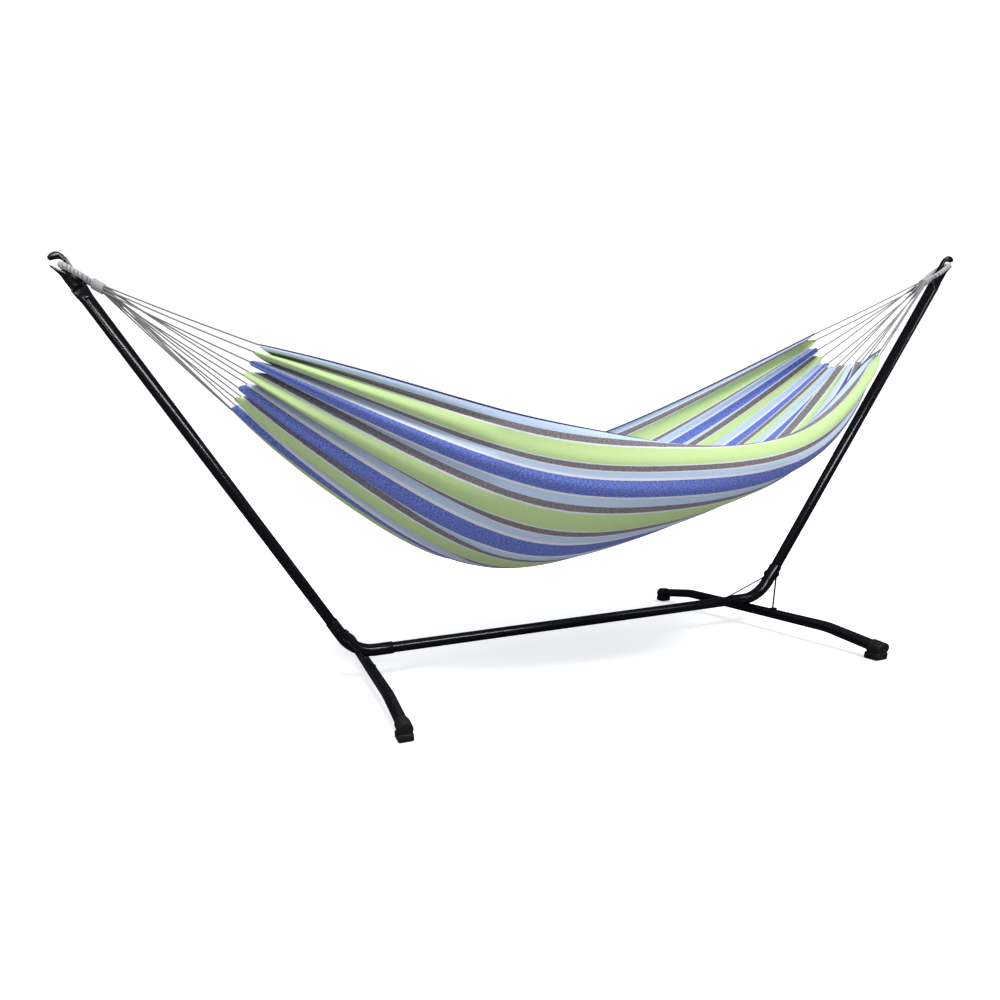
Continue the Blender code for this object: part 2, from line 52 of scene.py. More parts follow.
# Layout that the frame was made with, in metres
HOOK_HALF_SPAN = 1.32
HOOK_SEAT_Z = 1.117
ELBOW_X = 0.726
BEAM_Z = 0.093
FOOT_X = 0.692
FOOT_HALF_WIDTH = 0.470
FOOT_BEND_Y = 0.300
FOOT_END_Z = 0.032
FIT_GAP = 0.0003
TUBE_D = 0.0330
SLEEVE_WALL = 0.0022
ELBOW_D = TUBE_D + 2 * (FIT_GAP + SLEEVE_WALL)
FOOT_BAR_D = 0.0320
TUBE_WALL = 0.0015
BEND_RADIUS = 0.11
SLEEVE_LENGTH = 0.056
TUBE_ENTRY = 0.045
HOOK_AXIS_OFFSET = 0.0015
HOOK_FLAT_TO_ROUND = 0.055 + 0.032
BRACE_TOP_ALONG = 0.090
EYE_T = 0.003
# Loops and strings
ROPE_D = 0.015
EYE_HALF_WIDTH = 0.0185
EYE_LENGTH = 0.073
EYE_TAPER = 0.022
LOOP_DROP = math.radians(31.0)
BINDING_D = 0.026
BINDING_LENGTH = 0.025
STRING_FAN_Y = 0.011
STRING_FAN_Z = 0.007
# Cloth: sections from the left end to the right end
BED_X = (-0.926, -0.64, -0.32, 0.0, 0.32, 0.64, 0.955)
BED_HALF_WIDTH = (0.150, 0.296, 0.412, 0.466, 0.490, 0.349, 0.118)
BED_BOTTOM_Z = (0.798, 0.497, 0.316, 0.350, 0.454, 0.611, 0.834)
BED_NEAR_Z = (0.905, 0.807, 0.684, 0.606, 0.609, 0.734, 0.846)
BED_FAR_Z = (0.882, 0.780, 0.694, 0.651, 0.677, 0.792, 0.950)
BED_WRAP_DEG = (75.0, 92.0, 101.0, 105.0, 101.0, 92.0, 75.0)
BED_NEAR_CURL = (0.0, 0.0, 0.010, 0.042, 0.058, 0.045, 0.010)
BED_CURL_R = 0.030
BED_LEFT_ARC = 0.075
BED_RIGHT_ARC = 0.010
BED_ARC_REACH = 0.12
BED_FULLNESS = 0.85
BED_LOBES = (0.0, 0.046, 0.100, 0.172, 0.256, 0.347, 0.450, 0.530, 0.610, 0.725, 0.825, 0.930, 1.0)
LOBE_PLACES = (0.0, 0.061, 0.149, 0.237, 0.325, 0.413, 0.5, 0.588, 0.676, 0.763, 0.851, 0.939, 1.0)
CLOTH_WIDTH = 1.24
CLOTH_LENGTH = 2.18
# Stripes of one repeat, from a rim inward: kind and relative width
STRIPES = (
    ("sky", 8.0), ("brown", 6.0), ("white", 1.8), ("lime", 18.5), ("white", 1.2), ("brown", 6.4),
    ("white", 1.5), ("sky", 6.4), ("white", 3.0), ("blue", 17.5), ("white", 2.4),
)
REPEATS = 6


# ---------------------------------------------------------------- sizes and colours

class HammockSettings(bpy.types.PropertyGroup):
    pleat_depth: FloatProperty(
        name="Pleat depth", description="Deepest pleat of the gathered ends",
        default=0.026, min=0.0, max=0.05, subtype="DISTANCE", unit="LENGTH")
    cloth_thickness: FloatProperty(
        name="Cloth thickness", description="Thickness of the woven cloth",
        default=0.0014, min=0.0005, max=0.004, subtype="DISTANCE", unit="LENGTH")
    hem_diameter: FloatProperty(
        name="Hem", description="Thickness of the rolled hem along each rim",
        default=0.0048, min=0.001, max=0.01, subtype="DISTANCE", unit="LENGTH")
    string_diameter: FloatProperty(
        name="String diameter", description="Twisted string between the loop and the cloth",
        default=0.0039, min=0.001, max=0.008, subtype="DISTANCE", unit="LENGTH")
    string_lay: FloatProperty(
        name="String lay", description="Length of one full turn of the string's strands",
        default=0.016, min=0.004, max=0.05, subtype="DISTANCE", unit="LENGTH")
    coil_pitch: FloatProperty(
        name="Loop winding", description="Distance between the turns wound round the end loops",
        default=0.0082, min=0.001, max=0.02, subtype="DISTANCE", unit="LENGTH")
    tube_sides: IntProperty(
        name="Tube sides", description="Sides of the stand's round tubes", default=64, min=16, max=128)
    blue: FloatVectorProperty(
        name="Blue", description="Wide blue stripe", default=(0.045, 0.105, 0.560),
        size=3, min=0.0, max=1.0, subtype="COLOR")
    lime: FloatVectorProperty(
        name="Lime", description="Wide lime stripe", default=(0.590, 0.790, 0.330),
        size=3, min=0.0, max=1.0, subtype="COLOR")
    sky: FloatVectorProperty(
        name="Sky blue", description="Narrow light blue stripe", default=(0.580, 0.710, 0.920),
        size=3, min=0.0, max=1.0, subtype="COLOR")
    brown: FloatVectorProperty(
        name="Brown", description="Narrow taupe stripe", default=(0.165, 0.135, 0.130),
        size=3, min=0.0, max=1.0, subtype="COLOR")
    white: FloatVectorProperty(
        name="White", description="Thin white stripe", default=(0.84, 0.86, 0.90),
        size=3, min=0.0, max=1.0, subtype="COLOR")
    navy: FloatVectorProperty(
        name="Navy", description="Hem thread", default=(0.022, 0.040, 0.150),
        size=3, min=0.0, max=1.0, subtype="COLOR")
    coat: FloatVectorProperty(
        name="Coating", description="Black powder coating of the stand", default=(0.0028, 0.0024, 0.0045),
        size=3, min=0.0, max=1.0, subtype="COLOR")
    rope: FloatVectorProperty(
        name="Rope", description="Loops and strings", default=(0.560, 0.540, 0.550),
        size=3, min=0.0, max=1.0, subtype="COLOR")


def settings():
    return bpy.context.scene.hammock_settings


# ---------------------------------------------------------------- material helpers

class Nodes:
    """Short hand for wiring a node tree."""

    def __init__(self, tree):
        self.tree = tree

    def add(self, kind, inputs=(), **values):
        made = self.tree.nodes.new(kind)
        for key, value in values.items():
            setattr(made, key, value)
        for key, value in dict(inputs).items():
            if isinstance(value, bpy.types.NodeSocket):
                self.tree.links.new(value, made.inputs[key])
            else:
                made.inputs[key].default_value = value
        return made

    def math(self, operation, a, b=0.0, c=0.0, clamp=False):
        return self.add("ShaderNodeMath", {0: a, 1: b, 2: c}, operation=operation, use_clamp=clamp).outputs[0]

    def mix(self, factor, a, b, blend="MIX"):
        made = self.add("ShaderNodeMix", data_type="RGBA", blend_type=blend)
        sockets = [s for s in made.inputs if s.enabled]
        for socket, value in zip(sockets, (factor, a, b)):
            if isinstance(value, bpy.types.NodeSocket):
                self.tree.links.new(value, socket)
            else:
                socket.default_value = value
        return next(s for s in made.outputs if s.enabled)

    def ramp(self, factor, stops, interpolation="LINEAR"):
        made = self.add("ShaderNodeValToRGB", {"Fac": factor})
        made.color_ramp.interpolation = interpolation
        elements = made.color_ramp.elements
        while len(elements) < len(stops):
            elements.new(1.0)
        for element, (place, colour) in zip(elements, stops):
            element.position = place
            element.color = colour
        return made.outputs["Color"]


def grey(value):
    return (value, value, value, 1.0)


def rgba(colour):
    return (*colour, 1.0)


def new_group(name, inputs, outputs):
    """An empty shader node group, with its wiring helper and its two end nodes."""
    tree = bpy.data.node_groups.new(name, "ShaderNodeTree")
    for label, kind, default in inputs:
        socket = tree.interface.new_socket(label, in_out="INPUT", socket_type=kind)
        if default is not None:
            socket.default_value = default
    for label, kind in outputs:
        tree.interface.new_socket(label, in_out="OUTPUT", socket_type=kind)
    nodes = Nodes(tree)
    return nodes, nodes.add("NodeGroupInput"), nodes.add("NodeGroupOutput")


def speckle_group():
    """Irregular fine grain: a mask from 0 to 1 and a height."""
    found = bpy.data.node_groups.get("grain")
    if found:
        return found
    nodes, start, end = new_group(
        "grain",
        [("Vector", "NodeSocketVector", None), ("Scale", "NodeSocketFloat", 400.0),
         ("Contrast", "NodeSocketFloat", 1.0)],
        [("Mask", "NodeSocketFloat"), ("Height", "NodeSocketFloat")])
    noise = nodes.add("ShaderNodeTexNoise", {
        "Vector": start.outputs["Vector"], "Scale": start.outputs["Scale"], "Detail": 3.0, "Roughness": 0.6})
    centred = nodes.math("SUBTRACT", noise.outputs[0], 0.5)
    mask = nodes.math("MULTIPLY_ADD", centred, start.outputs["Contrast"], 0.5, clamp=True)
    nodes.tree.links.new(mask, end.inputs["Mask"])
    nodes.tree.links.new(noise.outputs[0], end.inputs["Height"])
    return nodes.tree


def dust_group():
    """Settled dust on upward faces, broken up by noise, and scuffs: two masks."""
    found = bpy.data.node_groups.get("dust and wear")
    if found:
        return found
    nodes, start, end = new_group(
        "dust and wear",
        [("Dust", "NodeSocketFloat", 0.2), ("Scuffs", "NodeSocketFloat", 0.2)],
        [("Dust", "NodeSocketFloat"), ("Scuffs", "NodeSocketFloat")])
    place = nodes.add("ShaderNodeTexCoord").outputs["Object"]
    normal = nodes.add("ShaderNodeNewGeometry").outputs["Normal"]
    up = nodes.add("ShaderNodeSeparateXYZ", {0: normal}).outputs[2]
    cloud = nodes.add("ShaderNodeTexNoise", {"Vector": place, "Scale": 22.0, "Detail": 4.0})
    facing = nodes.math("MULTIPLY_ADD", up, 1.6, -0.7, clamp=True)
    settled = nodes.math("MULTIPLY", facing, cloud.outputs[0])
    settled = nodes.math("MULTIPLY", settled, start.outputs["Dust"])
    streak = nodes.add("ShaderNodeTexNoise", {
        "Vector": nodes.add("ShaderNodeMapping", {"Vector": place, "Scale": (30.0, 160.0, 30.0)}).outputs[0],
        "Scale": 1.0, "Detail": 5.0, "Roughness": 0.7})
    scuffed = nodes.math("MULTIPLY_ADD", streak.outputs[0], 9.0, -5.9, clamp=True)
    scuffed = nodes.math("MULTIPLY", scuffed, start.outputs["Scuffs"])
    nodes.tree.links.new(settled, end.inputs["Dust"])
    nodes.tree.links.new(scuffed, end.inputs["Scuffs"])
    return nodes.tree


def weave_group():
    """Plain weave over a map in metres: x along the warp, y across. Gives the thread height and which way it runs."""
    found = bpy.data.node_groups.get("plain weave")
    if found:
        return found
    nodes, start, end = new_group(
        "plain weave",
        [("Map", "NodeSocketVector", None), ("Threads per metre", "NodeSocketFloat", 900.0)],
        [("Height", "NodeSocketFloat"), ("Warp", "NodeSocketFloat"), ("Slub", "NodeSocketFloat")])
    split = nodes.add("ShaderNodeSeparateXYZ", {0: start.outputs["Map"]})
    turns = nodes.math("MULTIPLY", start.outputs["Threads per metre"], math.pi)
    a = nodes.math("SINE", nodes.math("MULTIPLY", split.outputs[0], turns))
    b = nodes.math("SINE", nodes.math("MULTIPLY", split.outputs[1], turns))
    over = nodes.math("MULTIPLY", a, b)
    height = nodes.math("ABSOLUTE", over)
    warp = nodes.math("GREATER_THAN", over, 0.0)
    slub = nodes.add("ShaderNodeTexNoise", {
        "Vector": nodes.add("ShaderNodeMapping", {
            "Vector": start.outputs["Map"], "Scale": (60.0, 700.0, 1.0)}).outputs[0],
        "Scale": 1.0, "Detail": 3.0, "Roughness": 0.7})
    nodes.tree.links.new(height, end.inputs["Height"])
    nodes.tree.links.new(warp, end.inputs["Warp"])
    nodes.tree.links.new(slub.outputs[0], end.inputs["Slub"])
    return nodes.tree


def new_material(name):
    made = bpy.data.materials.new(name)
    made.use_nodes = True
    nodes = Nodes(made.node_tree)
    return made, nodes, made.node_tree.nodes["Principled BSDF"]


def put_group(nodes, tree, inputs=()):
    made = nodes.add("ShaderNodeGroup", node_tree=tree)
    for key, value in dict(inputs).items():
        if isinstance(value, bpy.types.NodeSocket):
            nodes.tree.links.new(value, made.inputs[key])
        else:
            made.inputs[key].default_value = value
    return made


def coated_steel():
    """Satin black powder coating: orange peel, a little dust on top, a few rubbed spots."""
    found = bpy.data.materials.get("black powder coat")
    if found:
        return found
    made, nodes, shader = new_material("black powder coat")
    place = nodes.add("ShaderNodeTexCoord").outputs["Object"]
    peel = put_group(nodes, speckle_group(), {"Vector": place, "Scale": 1300.0, "Contrast": 1.4})
    wear = put_group(nodes, dust_group(), {"Dust": 0.012, "Scuffs": 0.05})
    coat = rgba(settings().coat)
    colour = nodes.mix(peel.outputs["Mask"], coat, rgba([c * 1.8 for c in settings().coat]))
    colour = nodes.mix(wear.outputs["Dust"], colour, (0.16, 0.155, 0.15, 1.0))
    colour = nodes.mix(wear.outputs["Scuffs"], colour, (0.045, 0.043, 0.045, 1.0))
    rough = nodes.math("MULTIPLY_ADD", peel.outputs["Mask"], 0.03, 0.20)
    rough = nodes.math("MULTIPLY_ADD", wear.outputs["Dust"], 0.4, rough)
    rough = nodes.math("MULTIPLY_ADD", wear.outputs["Scuffs"], 0.35, rough, clamp=True)
    bump = nodes.add("ShaderNodeBump", {"Height": peel.outputs["Height"], "Strength": 0.002, "Distance": 0.0001})
    nodes.tree.links.new(colour, shader.inputs["Base Color"])
    nodes.tree.links.new(rough, shader.inputs["Roughness"])
    nodes.tree.links.new(bump.outputs[0], shader.inputs["Normal"])
    shader.inputs["Specular IOR Level"].default_value = 0.45
    return made


def moulded_rubber():
    found = bpy.data.materials.get("black moulded plastic")
    if found:
        return found
    made, nodes, shader = new_material("black moulded plastic")
    place = nodes.add("ShaderNodeTexCoord").outputs["Object"]
    grain = put_group(nodes, speckle_group(), {"Vector": place, "Scale": 900.0, "Contrast": 2.0})
    wear = put_group(nodes, dust_group(), {"Dust": 0.08, "Scuffs": 0.3})
    colour = nodes.mix(grain.outputs["Mask"], (0.004, 0.004, 0.0045, 1.0), (0.010, 0.010, 0.011, 1.0))
    colour = nodes.mix(wear.outputs["Dust"], colour, (0.13, 0.125, 0.12, 1.0))
    colour = nodes.mix(wear.outputs["Scuffs"], colour, (0.05, 0.05, 0.05, 1.0))
    rough = nodes.math("MULTIPLY_ADD", grain.outputs["Mask"], 0.18, 0.42)
    bump = nodes.add("ShaderNodeBump", {"Height": grain.outputs["Height"], "Strength": 0.25, "Distance": 0.0004})
    nodes.tree.links.new(colour, shader.inputs["Base Color"])
    nodes.tree.links.new(rough, shader.inputs["Roughness"])
    nodes.tree.links.new(bump.outputs[0], shader.inputs["Normal"])
    return made


def dark_zinc():
    found = bpy.data.materials.get("black zinc")
    if found:
        return found
    made, nodes, shader = new_material("black zinc")
    place = nodes.add("ShaderNodeTexCoord").outputs["Object"]
    grain = put_group(nodes, speckle_group(), {"Vector": place, "Scale": 1500.0, "Contrast": 2.5})
    wear = put_group(nodes, dust_group(), {"Dust": 0.2, "Scuffs": 0.8})
    colour = nodes.mix(grain.outputs["Mask"], (0.020, 0.020, 0.022, 1.0), (0.045, 0.045, 0.050, 1.0))
    colour = nodes.mix(wear.outputs["Scuffs"], colour, (0.22, 0.22, 0.23, 1.0))
    rough = nodes.math("MULTIPLY_ADD", grain.outputs["Mask"], 0.2, 0.28)
    nodes.tree.links.new(colour, shader.inputs["Base Color"])
    nodes.tree.links.new(rough, shader.inputs["Roughness"])
    shader.inputs["Metallic"].default_value = 0.85
    return made


def striped_cloth():
    """Woven stripes over the cloth's own map: x along the cloth and y across it, in metres."""
    made, nodes, shader = new_material("striped cloth")
    look = settings()
    cloth_map = nodes.add("ShaderNodeUVMap", uv_map="weave").outputs[0]
    across = nodes.add("ShaderNodeSeparateXYZ", {0: cloth_map}).outputs[1]
    weave = put_group(nodes, weave_group(), {"Map": cloth_map, "Threads per metre": 900.0})
    # Threads at a stripe's edge waver a little
    waver = nodes.add("ShaderNodeTexNoise", {
        "Vector": nodes.add("ShaderNodeMapping", {"Vector": cloth_map, "Scale": (90.0, 5.0, 1.0)}).outputs[0],
        "Scale": 1.0, "Detail": 2.0})
    place = nodes.math("MULTIPLY_ADD", nodes.math("SUBTRACT", waver.outputs[0], 0.5), 0.0022, across)
    total = sum(width for _, width in STRIPES)
    span = REPEATS * total - sum(width for _, width in STRIPES[-3:])
    share = nodes.math("FRACT", nodes.math("MULTIPLY", place, span / (CLOTH_WIDTH * total)))
    stops, heather, run = [], [], 0.0
    speck = {"blue": 0.62, "brown": 0.55, "lime": 0.16, "sky": 0.22, "white": 0.06}
    for kind, width in STRIPES:
        stops.append((run / total, rgba(getattr(look, kind))))
        heather.append((run / total, grey(speck[kind])))
        run += width
    stripe = nodes.ramp(share, stops, "CONSTANT")
    strength = nodes.ramp(share, heather, "CONSTANT")
    # Heathered yarn: short flecks along the weft and the warp
    flecks = nodes.add("ShaderNodeTexNoise", {
        "Vector": nodes.add("ShaderNodeMapping", {"Vector": cloth_map, "Scale": (170.0, 420.0, 1.0)}).outputs[0],
        "Scale": 1.0, "Detail": 4.0, "Roughness": 0.75})
    fleck = nodes.math("MULTIPLY_ADD", flecks.outputs[0], 4.6, -1.95, clamp=True)
    fleck = nodes.math("MULTIPLY", fleck, nodes.add("ShaderNodeRGBToBW", {0: strength}).outputs[0])
    pale = nodes.mix(0.62, stripe, (0.80, 0.84, 0.95, 1.0))
    colour = nodes.mix(fleck, stripe, pale)
    # Thread to thread difference
    deep = nodes.mix(1.0, colour, (0.80, 0.80, 0.82, 1.0), "MULTIPLY")
    slub = nodes.math("MULTIPLY_ADD", weave.outputs["Slub"], 2.2, -0.75, clamp=True)
    colour = nodes.mix(nodes.math("MULTIPLY", slub, 0.55), colour, deep)
    # Painted shade: darker where the threads dip between one another
    weave_hollow_shade = nodes.math("MULTIPLY_ADD", weave.outputs["Height"], -1.2, 0.42, clamp=True)
    colour = nodes.mix(weave_hollow_shade, colour, nodes.mix(1.0, colour, (0.45, 0.45, 0.5, 1.0), "MULTIPLY"))
    rough = nodes.math("MULTIPLY_ADD", weave.outputs["Slub"], 0.18, 0.74, clamp=True)
    height = nodes.math("MULTIPLY_ADD", weave.outputs["Slub"], 0.8, weave.outputs["Height"])
    bump = nodes.add("ShaderNodeBump", {"Height": height, "Strength": 0.35, "Distance": 0.0005})
    nodes.tree.links.new(colour, shader.inputs["Base Color"])
    nodes.tree.links.new(rough, shader.inputs["Roughness"])
    nodes.tree.links.new(bump.outputs[0], shader.inputs["Normal"])
    shader.inputs["Sheen Weight"].default_value = 0.12
    shader.inputs["Sheen Roughness"].default_value = 0.5
    shader.inputs["Specular IOR Level"].default_value = 0.15
    return made


def yarn(name, base, fleck_scale, dirt, turns_per_metre, strands, groove):
    """Spun fibre on a map that follows the cord: x along it in metres, y round it in turns. The
    grooves between its strands are darkened with painted shade."""
    found = bpy.data.materials.get(name)
    if found:
        return found
    made, nodes, shader = new_material(name)
    cord_map = nodes.add("ShaderNodeUVMap", uv_map="weave").outputs[0]
    fibre = nodes.add("ShaderNodeTexNoise", {
        "Vector": nodes.add("ShaderNodeMapping", {
            "Vector": cord_map, "Scale": (fleck_scale, fleck_scale * 0.02, 1.0)}).outputs[0],
        "Scale": 1.0, "Detail": 4.0, "Roughness": 0.7})
    place = nodes.add("ShaderNodeTexCoord").outputs["Object"]
    grime = put_group(nodes, speckle_group(), {"Vector": place, "Scale": 26.0, "Contrast": 1.6})
    shade = nodes.math("MULTIPLY_ADD", fibre.outputs[0], 2.4, -0.7, clamp=True)
    colour = nodes.mix(shade, rgba([c * 0.75 for c in base]), rgba([min(1.0, c * 1.2) for c in base]))
    soiled = nodes.mix(1.0, colour, rgba(dirt), "MULTIPLY")
    colour = nodes.mix(nodes.math("MULTIPLY", grime.outputs["Mask"], 0.6), colour, soiled)
    split = nodes.add("ShaderNodeSeparateXYZ", {0: cord_map})
    wound = nodes.math("MULTIPLY", split.outputs[0], -2 * math.pi * turns_per_metre)
    wound = nodes.math("MULTIPLY_ADD", split.outputs[1], 2 * math.pi * strands, wound)
    # Painted shade in the grooves between the strands
    deep = nodes.math("MULTIPLY_ADD", nodes.math("COSINE", wound), -1.1, -0.25, clamp=True)
    shadow = nodes.mix(1.0, colour, (0.30, 0.28, 0.30, 1.0), "MULTIPLY")
    colour = nodes.mix(nodes.math("MULTIPLY", deep, groove), colour, shadow)
    rough = nodes.math("MULTIPLY_ADD", fibre.outputs[0], 0.2, 0.7, clamp=True)
    bump = nodes.add("ShaderNodeBump", {"Height": fibre.outputs[0], "Strength": 0.5, "Distance": 0.0005})
    nodes.tree.links.new(colour, shader.inputs["Base Color"])
    nodes.tree.links.new(rough, shader.inputs["Roughness"])
    nodes.tree.links.new(bump.outputs[0], shader.inputs["Normal"])
    shader.inputs["Sheen Weight"].default_value = 0.25
    return made


# ---------------------------------------------------------------- modelling helpers

def deselect():
    if bpy.context.mode != "OBJECT":
        bpy.ops.object.mode_set(mode="OBJECT")
    bpy.ops.object.select_all(action="DESELECT")


def make_active(obj):
    deselect()
    obj.select_set(True)
    bpy.context.view_layer.objects.active = obj
    return obj


def start_shape(name):
    """The primitive that was just added, named and open for editing."""
    obj = bpy.context.object
    obj.name = name
    obj.data.name = name
    bpy.ops.object.mode_set(mode="EDIT")
    return obj


def pick(obj, kind, test):
    """In edit mode, selects just the vertices, edges or faces that pass the test."""
    shape = bmesh.from_edit_mesh(obj.data)
    bpy.ops.mesh.select_all(action="DESELECT")
    bpy.context.tool_settings.mesh_select_mode = (kind == "verts", kind == "edges", kind == "faces")
    for part in getattr(shape, kind):
        if test(part):
            part.select_set(True)
    shape.select_flush_mode()
    bmesh.update_edit_mesh(obj.data)


def apply_modifier(obj, name, kind, **values):
    step = obj.modifiers.new(name, kind)
    for key, value in values.items():
        setattr(step, key, value)
    make_active(obj)
    bpy.ops.object.modifier_apply(modifier=step.name)
    return obj


def finish_piece(obj, material, angle=40.0):
    """Puts the place in the mesh, smooths by angle and gives the material."""
    make_active(obj)
    bpy.ops.object.transform_apply(location=True, rotation=True, scale=True)
    bpy.ops.object.shade_smooth_by_angle(angle=math.radians(angle))
    obj.data.materials.clear()
    obj.data.materials.append(material)
    return obj


def own_copy(obj, name, axis=None):
    """A copy with its own mesh, mirrored across an axis where one is given, its faces still pointing out."""
    made = obj.copy()
    made.data = obj.data.copy()
    made.name = name
    made.data.name = name
    bpy.context.scene.collection.objects.link(made)
    if axis is not None:
        scale = [1.0, 1.0, 1.0]
        scale[axis] = -1.0
        made.data.transform(Matrix.Diagonal((*scale, 1.0)))
        made.data.flip_normals()
    return made


def cad_copy(node, name):
    """A merged copy of a frame node's mesh."""
    made = own_copy(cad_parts[node], name)
    for key in list(made.keys()):
        del made[key]
    made.parent = None
    make_active(made)
    bpy.ops.object.mode_set(mode="EDIT")
    bpy.ops.mesh.select_all(action="SELECT")
    bpy.ops.mesh.remove_doubles(threshold=0.00001)
    bpy.ops.mesh.dissolve_limited(angle_limit=math.radians(0.5))
    bpy.ops.object.mode_set(mode="OBJECT")
    return made


def stand_piece(obj, nodes):
    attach(obj, "stand")
    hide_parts(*nodes)
    return obj


def drawn_tube(name, start, direction, diameter, wall, steps):
    """A tube drawn in edit mode from a circle: steps are ("go", length) or ("turn", angle, radius, side)."""
    deselect()
    turn = direction.to_track_quat("Z", "Y").to_euler()
    bpy.ops.mesh.primitive_circle_add(
        vertices=settings().tube_sides, radius=diameter / 2, fill_type="NOTHING",
        location=start, rotation=turn)
    obj = start_shape(name)
    bpy.ops.mesh.select_all(action="SELECT")
    place, heading = start.copy(), direction.normalized()
    for step in steps:
        if step[0] == "go":
            bpy.ops.mesh.extrude_region_move(TRANSFORM_OT_translate={"value": heading * step[1]})
            place = place + heading * step[1]
            continue
        _, angle, radius, side = step
        centre = place + side * radius
        axis = heading.cross(side).normalized()
        bpy.ops.mesh.spin(
            steps=max(4, int(math.degrees(angle) / 2.5)), angle=-angle, center=centre, axis=axis)
        turned = Matrix.Rotation(angle, 3, axis)
        place = centre + turned @ (place - centre)
        heading = turned @ heading
    bpy.ops.mesh.select_all(action="SELECT")
    bpy.ops.mesh.remove_doubles(threshold=0.000005)
    bpy.ops.mesh.normals_make_consistent(inside=False)
    bpy.ops.object.mode_set(mode="OBJECT")
    bpy.ops.object.transform_apply(location=True, rotation=True, scale=True)
    outward_open_tube(obj, start, direction)
    apply_modifier(obj, "wall", "SOLIDIFY", thickness=wall, offset=-1.0, use_even_offset=True)
    apply_modifier(
        obj, "edge", "BEVEL", width=min(0.0004, wall * 0.3), segments=2,
        limit_method="ANGLE", angle_limit=math.radians(60))
    return obj, place, heading


def outward_open_tube(obj, start, direction):
    """Flips an open tube whose skin faces its own axis."""
    face = min(obj.data.polygons, key=lambda f: (f.center - start).length)
    axis = direction.normalized()
    out = face.center - start
    out -= axis * out.dot(axis)
    if face.normal.dot(out) < 0:
        obj.data.flip_normals()


# ---------------------------------------------------------------- cloth surface

def natural_spline(xs, ys, at):
    """Natural cubic spline through the sections."""
    xs, ys = np.asarray(xs, float), np.asarray(ys, float)
    n, h = len(xs), np.diff(xs)
    table, right = np.eye(n), np.zeros(n)
    for i in range(1, n - 1):
        table[i, i - 1:i + 2] = h[i - 1], 2 * (h[i - 1] + h[i]), h[i]
        right[i] = 6 * ((ys[i + 1] - ys[i]) / h[i] - (ys[i] - ys[i - 1]) / h[i - 1])
    second = np.linalg.solve(table, right)
    k = np.clip(np.searchsorted(xs, at) - 1, 0, n - 2)
    a, b = (xs[k + 1] - at) / h[k], (at - xs[k]) / h[k]
    bend = ((a**3 - a) * second[k] + (b**3 - b) * second[k + 1]) * h[k] ** 2 / 6
    return a * ys[k] + b * ys[k + 1] + bend


def section_value(values, u):
    return natural_spline(np.linspace(0, 1, len(values)), values, u)


def bed_row(u, shares):
    """Points across the cloth at u, and the width of the section there."""
    v = np.linspace(-1, 1, 321)
    half, low = section_value(BED_HALF_WIDTH, u), section_value(BED_BOTTOM_Z, u)
    wrap = np.radians(section_value(BED_WRAP_DEG, u))
    angle = v * wrap
    rise = (1 - np.cos(angle)) / (1 - np.cos(wrap))
    rim = np.where(v < 0, section_value(BED_NEAR_Z, u), section_value(BED_FAR_Z, u))
    x = section_value(BED_X, u)
    x = x + BED_LEFT_ARC * np.exp(-((u / BED_ARC_REACH) ** 2)) * (rise - 0.5)
    x = x - BED_RIGHT_ARC * np.exp(-(((1 - u) / BED_ARC_REACH) ** 2)) * (rise - 0.5)
    y = half * np.sign(angle) * np.abs(np.sin(angle)) ** BED_FULLNESS
    wall = np.stack([x, y, low + (rim - low) * rise], axis=1)
    run = np.concatenate([[0], np.cumsum(np.linalg.norm(np.diff(wall, axis=0), axis=1))])
    curl = max(0.0, float(section_value(BED_NEAR_CURL, u)))
    width = curl + run[-1]
    place = np.asarray(shares) * width - curl
    row = np.stack([np.interp(place, run, wall[:, k]) for k in range(3)], axis=1)
    up = (wall[0] - wall[1]) / np.linalg.norm(wall[0] - wall[1])
    inward = np.array([0.0, 1.0, 0.0]) - up[1] * up
    inward /= np.linalg.norm(inward)
    turn = np.clip(-place, 0, None)[:, None] / BED_CURL_R
    return row + BED_CURL_R * (np.sin(turn) * up + (1 - np.cos(turn)) * inward), width


def smooth_lobes(cloth):
    """Share of the section's width at a share of the cloth's width, softened between the lobes."""
    return natural_spline(LOBE_PLACES, BED_LOBES, np.asarray(cloth))


def lobe_turns(cloth):
    """Which lobe a share of the cloth's width is in: whole at a lobe's middle, half at a valley."""
    return np.interp(cloth, LOBE_PLACES, np.arange(len(LOBE_PLACES)))


